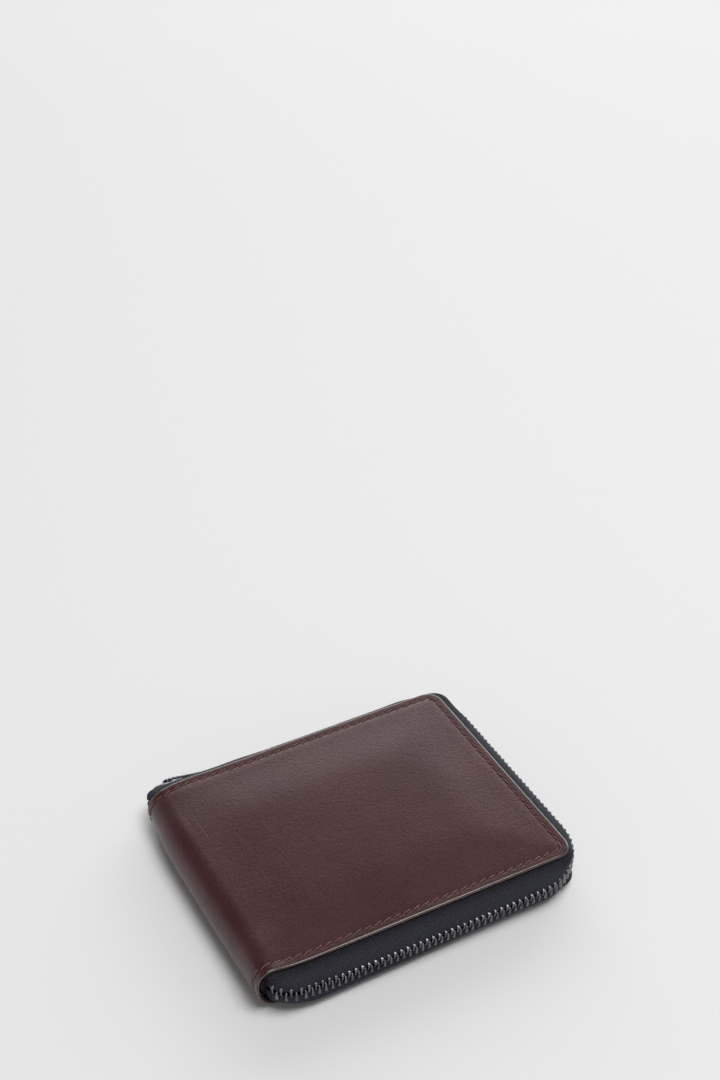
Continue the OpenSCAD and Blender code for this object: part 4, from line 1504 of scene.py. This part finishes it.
# %% Card slots
POCKET_FINISH = [POCKET_LEATHER, EDGE_PAINT, FLESH_SIDE]
POCKET_SEAM_INSET, POCKET_SEAM_END = 1.6, 0.6
POCKET_STITCH_PITCH, POCKET_STITCH_R, POCKET_STITCH_SLANT = 2.6, 0.17, 0.12
SLOT_NODES = ["slip_pocket_panel", "card_slot_1", "card_slot_2", "card_slot_3", "card_slot_4"]


def pocket_seam(node, line, up):
    places, pitch = along_line([Vector(p) for p in line], POCKET_STITCH_PITCH)
    surface = on_panel(node, up)
    return sew(node + "_seam", places, pitch, surface, POCKET_STITCH_R, POCKET_STITCH_SLANT, POCKET_THREAD)


for node in SLOT_NODES:
    hold([panel(node + "_leather", node, -1, 1, POCKET_FINISH)], "inner_leather", "upper_half")
    low, high = box_mm(node)
    if node == SLOT_NODES[-1]:
        left, right = low[0] + POCKET_SEAM_INSET, high[0] - POCKET_SEAM_INSET
        bottom, top = low[1] + POCKET_SEAM_INSET, high[1] - POCKET_SEAM_END
        line = [(left, top), (left, bottom), (right, bottom), (right, top)]
    else:
        mouth = high[1] - POCKET_SEAM_INSET * 2
        line = [(low[0] + POCKET_SEAM_END, mouth), (high[0] - POCKET_SEAM_END, mouth)]
    hold(pocket_seam(node, line, -1), "inner_leather", "upper_half")
print("pockets:", len(SLOT_NODES))

# %% [markdown]
# ## Coin pocket
# The coin pocket on the lower cover is a flat box: a cloth back, a folded strip of cloth round its sides,
# and a leather front with a zipped slit. The strip is a section with a fold in it that runs round a
# rectangle.

# %% Coin pocket
GUSSET_LOW, GUSSET_HIGH = box_mm("coin_pocket_gusset")
GUSSET_INSET, GUSSET_CORNER, GUSSET_CORNER_STEPS = 0.2, 0.6, 4
GUSSET_FOLD, GUSSET_CLOTH = 1.5, 0.35
GUSSET_STEPS = 9


def rectangle_line(low, high, inset, corner):
    """Points and outward directions round a rectangle with round corners."""
    line = []
    corners = ((high[0], high[1]), (low[0], high[1]), (low[0], low[1]), (high[0], low[1]))
    for turn, (x, y) in enumerate(corners):
        centre = Vector((x, y)) + Vector((-inset - corner, 0)) * (1 if turn in (0, 3) else -1)
        centre.y += (-inset - corner) if turn in (0, 1) else (inset + corner)
        for k in range(GUSSET_CORNER_STEPS + 1):
            angle = (turn + k / GUSSET_CORNER_STEPS) * math.pi / 2
            out = Vector((math.cos(angle), math.sin(angle)))
            line.append((centre + out * corner, out))
    return line


for name, node, mouth, finish, slot in (
    ("coin_back_cloth", "coin_pocket_back", 0, [LINING] * 3, "lining"),
    ("coin_front_leather", "coin_pocket_front", 1, POCKET_FINISH, "inner_leather"),
    ("coin_facing_leather", "coin_pocket_facing", -1, POCKET_FINISH, "inner_leather"),
):
    hold([panel(name, node, 1, mouth, finish)], slot, "lower_half")

gusset_line = rectangle_line(GUSSET_LOW, GUSSET_HIGH, GUSSET_INSET, GUSSET_CORNER)
gusset_foot, gusset_height = GUSSET_LOW[2] + GUSSET_INSET, GUSSET_HIGH[2] - GUSSET_LOW[2] - 2 * GUSSET_INSET
gusset_points = []
for at, out in gusset_line:
    for k in range(GUSSET_STEPS):
        t = k / (GUSSET_STEPS - 1)
        spot = at - out * (GUSSET_FOLD * math.sin(math.pi * t) ** 2)
        gusset_points.append((*spot, gusset_foot + gusset_height * t))
gusset_faces = grid_faces(len(gusset_line), GUSSET_STEPS, closed=True)
gusset = make_piece("coin_gusset_cloth", gusset_points, gusset_faces, [LINING])
thicken(gusset, GUSSET_CLOTH)
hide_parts("coin_pocket_gusset")
hold([gusset], "lining", "lower_half")

for node in ("coin_pocket_front", "coin_pocket_facing"):
    low, high = box_mm(node)
    mouth = high[1] - POCKET_SEAM_INSET if node == "coin_pocket_front" else low[1] + POCKET_SEAM_INSET
    line = [(low[0] + POCKET_SEAM_INSET, mouth), (high[0] - POCKET_SEAM_INSET, mouth)]
    hold(pocket_seam(node, line, 1), "inner_leather", "lower_half")
print("coin pocket:", len(gusset_points), "points in its folded sides")

# %% [markdown]
# ## Coin zip
# The coin zip is a smaller version of the main one that lies flat. An array modifier could repeat one tooth
# along it. A loop does the same here and leaves one plain mesh. The teeth are lofted as before, this time
# across the zip, and the two tapes carry the same woven finish.

# %% Coin zip
# Distance from the middle, half the height and half the size along the row.
COIN_TOOTH = [(2.05, 0.45, 0.26), (1.95, 0.70, 0.42), (1.3, 0.78, 0.48), (0.9, 0.74, 0.46)]
COIN_TOOTH += [(0.55, 0.62, 0.36), (0.2, 0.6, 0.4), (0.14, 0.45, 0.28)]
COIN_PITCH, COIN_START, COIN_SPARE = 2.0, 0.5, 0.6
COIN_MIDDLE = 0.25
for row, side in (("foot", -1), ("head", 1)):
    tape_node, teeth_node = f"coin_zip_{row}_tape", f"coin_zip_{row}_teeth"
    tape = panel(f"coin_{row}_tape", tape_node, 1, 0, [ZIP_TAPE] * 3, weave=True)
    hold([tape], "zip_tape", "lower_half")
    low, high = box_mm(teeth_node)
    middle = (low[1] if side > 0 else high[1]) - side * COIN_MIDDLE
    level = (low[2] + high[2]) / 2
    coin_row = Pile()
    for i in range(math.floor((high[0] - low[0]) / COIN_PITCH + COIN_SPARE)):
        x = low[0] + COIN_START + i * COIN_PITCH
        rings = []
        for y, half_z, half_x in COIN_TOOTH:
            rings.append([(x + a, middle + side * y, level + z) for z, a in rounded_ring(half_z, half_x)])
        coin_row.tube(rings)
    piece = coin_row.piece(f"coin_{row}_row", TOOTH_METAL)
    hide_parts(teeth_node)
    hold([piece], "zip_metal", "lower_half")

# %% [markdown]
# ## Floor
# The floor is pale and keeps the wallet's soft shadow. Far from the wallet the camera sees it as a plain
# pale tone, so it runs into the wall behind without a line. That tone is for the eye and for reflections
# alone, and it throws no light on the wallet.

# %% Floor
FLOOR_SIZE = 12.0
FLOOR_Z = -0.05
FAR_FLOOR = (0.9, 2.2)
PALE = screen_colour(229, 230, 229)
FLOOR_PAINT, floor_shader = new_material(
    "floor_paint", Base_Color=PALE, Roughness=0.9, Specular_IOR_Level=0.1
)
away = add_node(FLOOR_PAINT, "ShaderNodeVectorMath", operation="LENGTH")
wire(FLOOR_PAINT, coordinates(FLOOR_PAINT), away.inputs[0])
far = between(FLOOR_PAINT, away.outputs["Value"], 0.0, 1.0, *FAR_FLOOR)
rays = add_node(FLOOR_PAINT, "ShaderNodeLightPath")
seen = combine(FLOOR_PAINT, "MAXIMUM", rays.outputs["Is Camera Ray"], rays.outputs["Is Glossy Ray"])
plain_far = add_node(FLOOR_PAINT, "ShaderNodeEmission", {"Color": PALE})
fade = add_node(FLOOR_PAINT, "ShaderNodeMixShader")
wire(FLOOR_PAINT, combine(FLOOR_PAINT, "MULTIPLY", far, seen), fade.inputs["Fac"])
wire(FLOOR_PAINT, floor_shader.outputs["BSDF"], fade.inputs[1])
wire(FLOOR_PAINT, plain_far.outputs["Emission"], fade.inputs[2])
wire(FLOOR_PAINT, fade.outputs["Shader"], FLOOR_PAINT.node_tree.nodes["Material Output"].inputs["Surface"])
reach = FLOOR_SIZE / MM
floor = make_piece(
    "floor",
    [(x * reach, y * reach, FLOOR_Z) for x, y in ((-1, -1), (1, -1), (1, 1), (-1, 1))],
    [[0, 1, 2, 3]],
    [FLOOR_PAINT],
)
print("floor", 2 * FLOOR_SIZE, "m wide")

# %% [markdown]
# ## Light
# Two large soft panels and a glow along the horizon give the even light of a studio. The wide panel behind
# the wallet puts the long sheen on the cover, and the one overhead lights the rest and shows as a thin line
# on the foot edge. Where the camera looks past the floor, it sees the floor's pale tone and not the glow.

# %% Light
HORIZON, OVERHEAD = (0.0, 1.0), (0.6, 0.1)


def area_light(name, at, aim, size, watts):
    lamp = bpy.data.objects.new(name, bpy.data.lights.new(name, "AREA"))
    bpy.context.collection.objects.link(lamp)
    lamp.data.shape = "RECTANGLE"
    lamp.data.size, lamp.data.size_y = size
    lamp.data.energy = watts
    lamp.location = at
    lamp.rotation_euler = (Vector(aim) - Vector(at)).to_track_quat("-Z", "Y").to_euler()


world = bpy.data.worlds.new("studio")
bpy.context.scene.world = world
world.use_nodes = True
toward = add_node(world, "ShaderNodeTexCoord")
glow = add_node(world, "ShaderNodeValToRGB")
for stop, (at, level) in zip(glow.color_ramp.elements, (HORIZON, OVERHEAD)):
    stop.position = at
    stop.color = (level, level, level, 1.0)
lit_wall = world.node_tree.nodes["Background"]
wire(world, one_axis(world, toward.outputs["Generated"], "Z"), glow.inputs["Fac"])
wire(world, glow.outputs["Color"], lit_wall.inputs["Color"])
plain_wall = add_node(world, "ShaderNodeBackground", {"Color": PALE})
looked_at = add_node(world, "ShaderNodeLightPath")
behind = add_node(world, "ShaderNodeMixShader")
wire(world, looked_at.outputs["Is Camera Ray"], behind.inputs["Fac"])
wire(world, lit_wall.outputs["Background"], behind.inputs[1])
wire(world, plain_wall.outputs["Background"], behind.inputs[2])
wire(world, behind.outputs["Shader"], world.node_tree.nodes["World Output"].inputs["Surface"])
area_light("top_panel", at=(0.3, -0.45, 2.2), aim=(0, 0, 0), size=(1.3, 1.3), watts=36.8)
area_light("back_panel", at=(1.54, 2.18, 0.92), aim=(0, 0, 0.02), size=(3.96, 1.5), watts=63)
bpy.context.scene.view_settings.view_transform = "Standard"
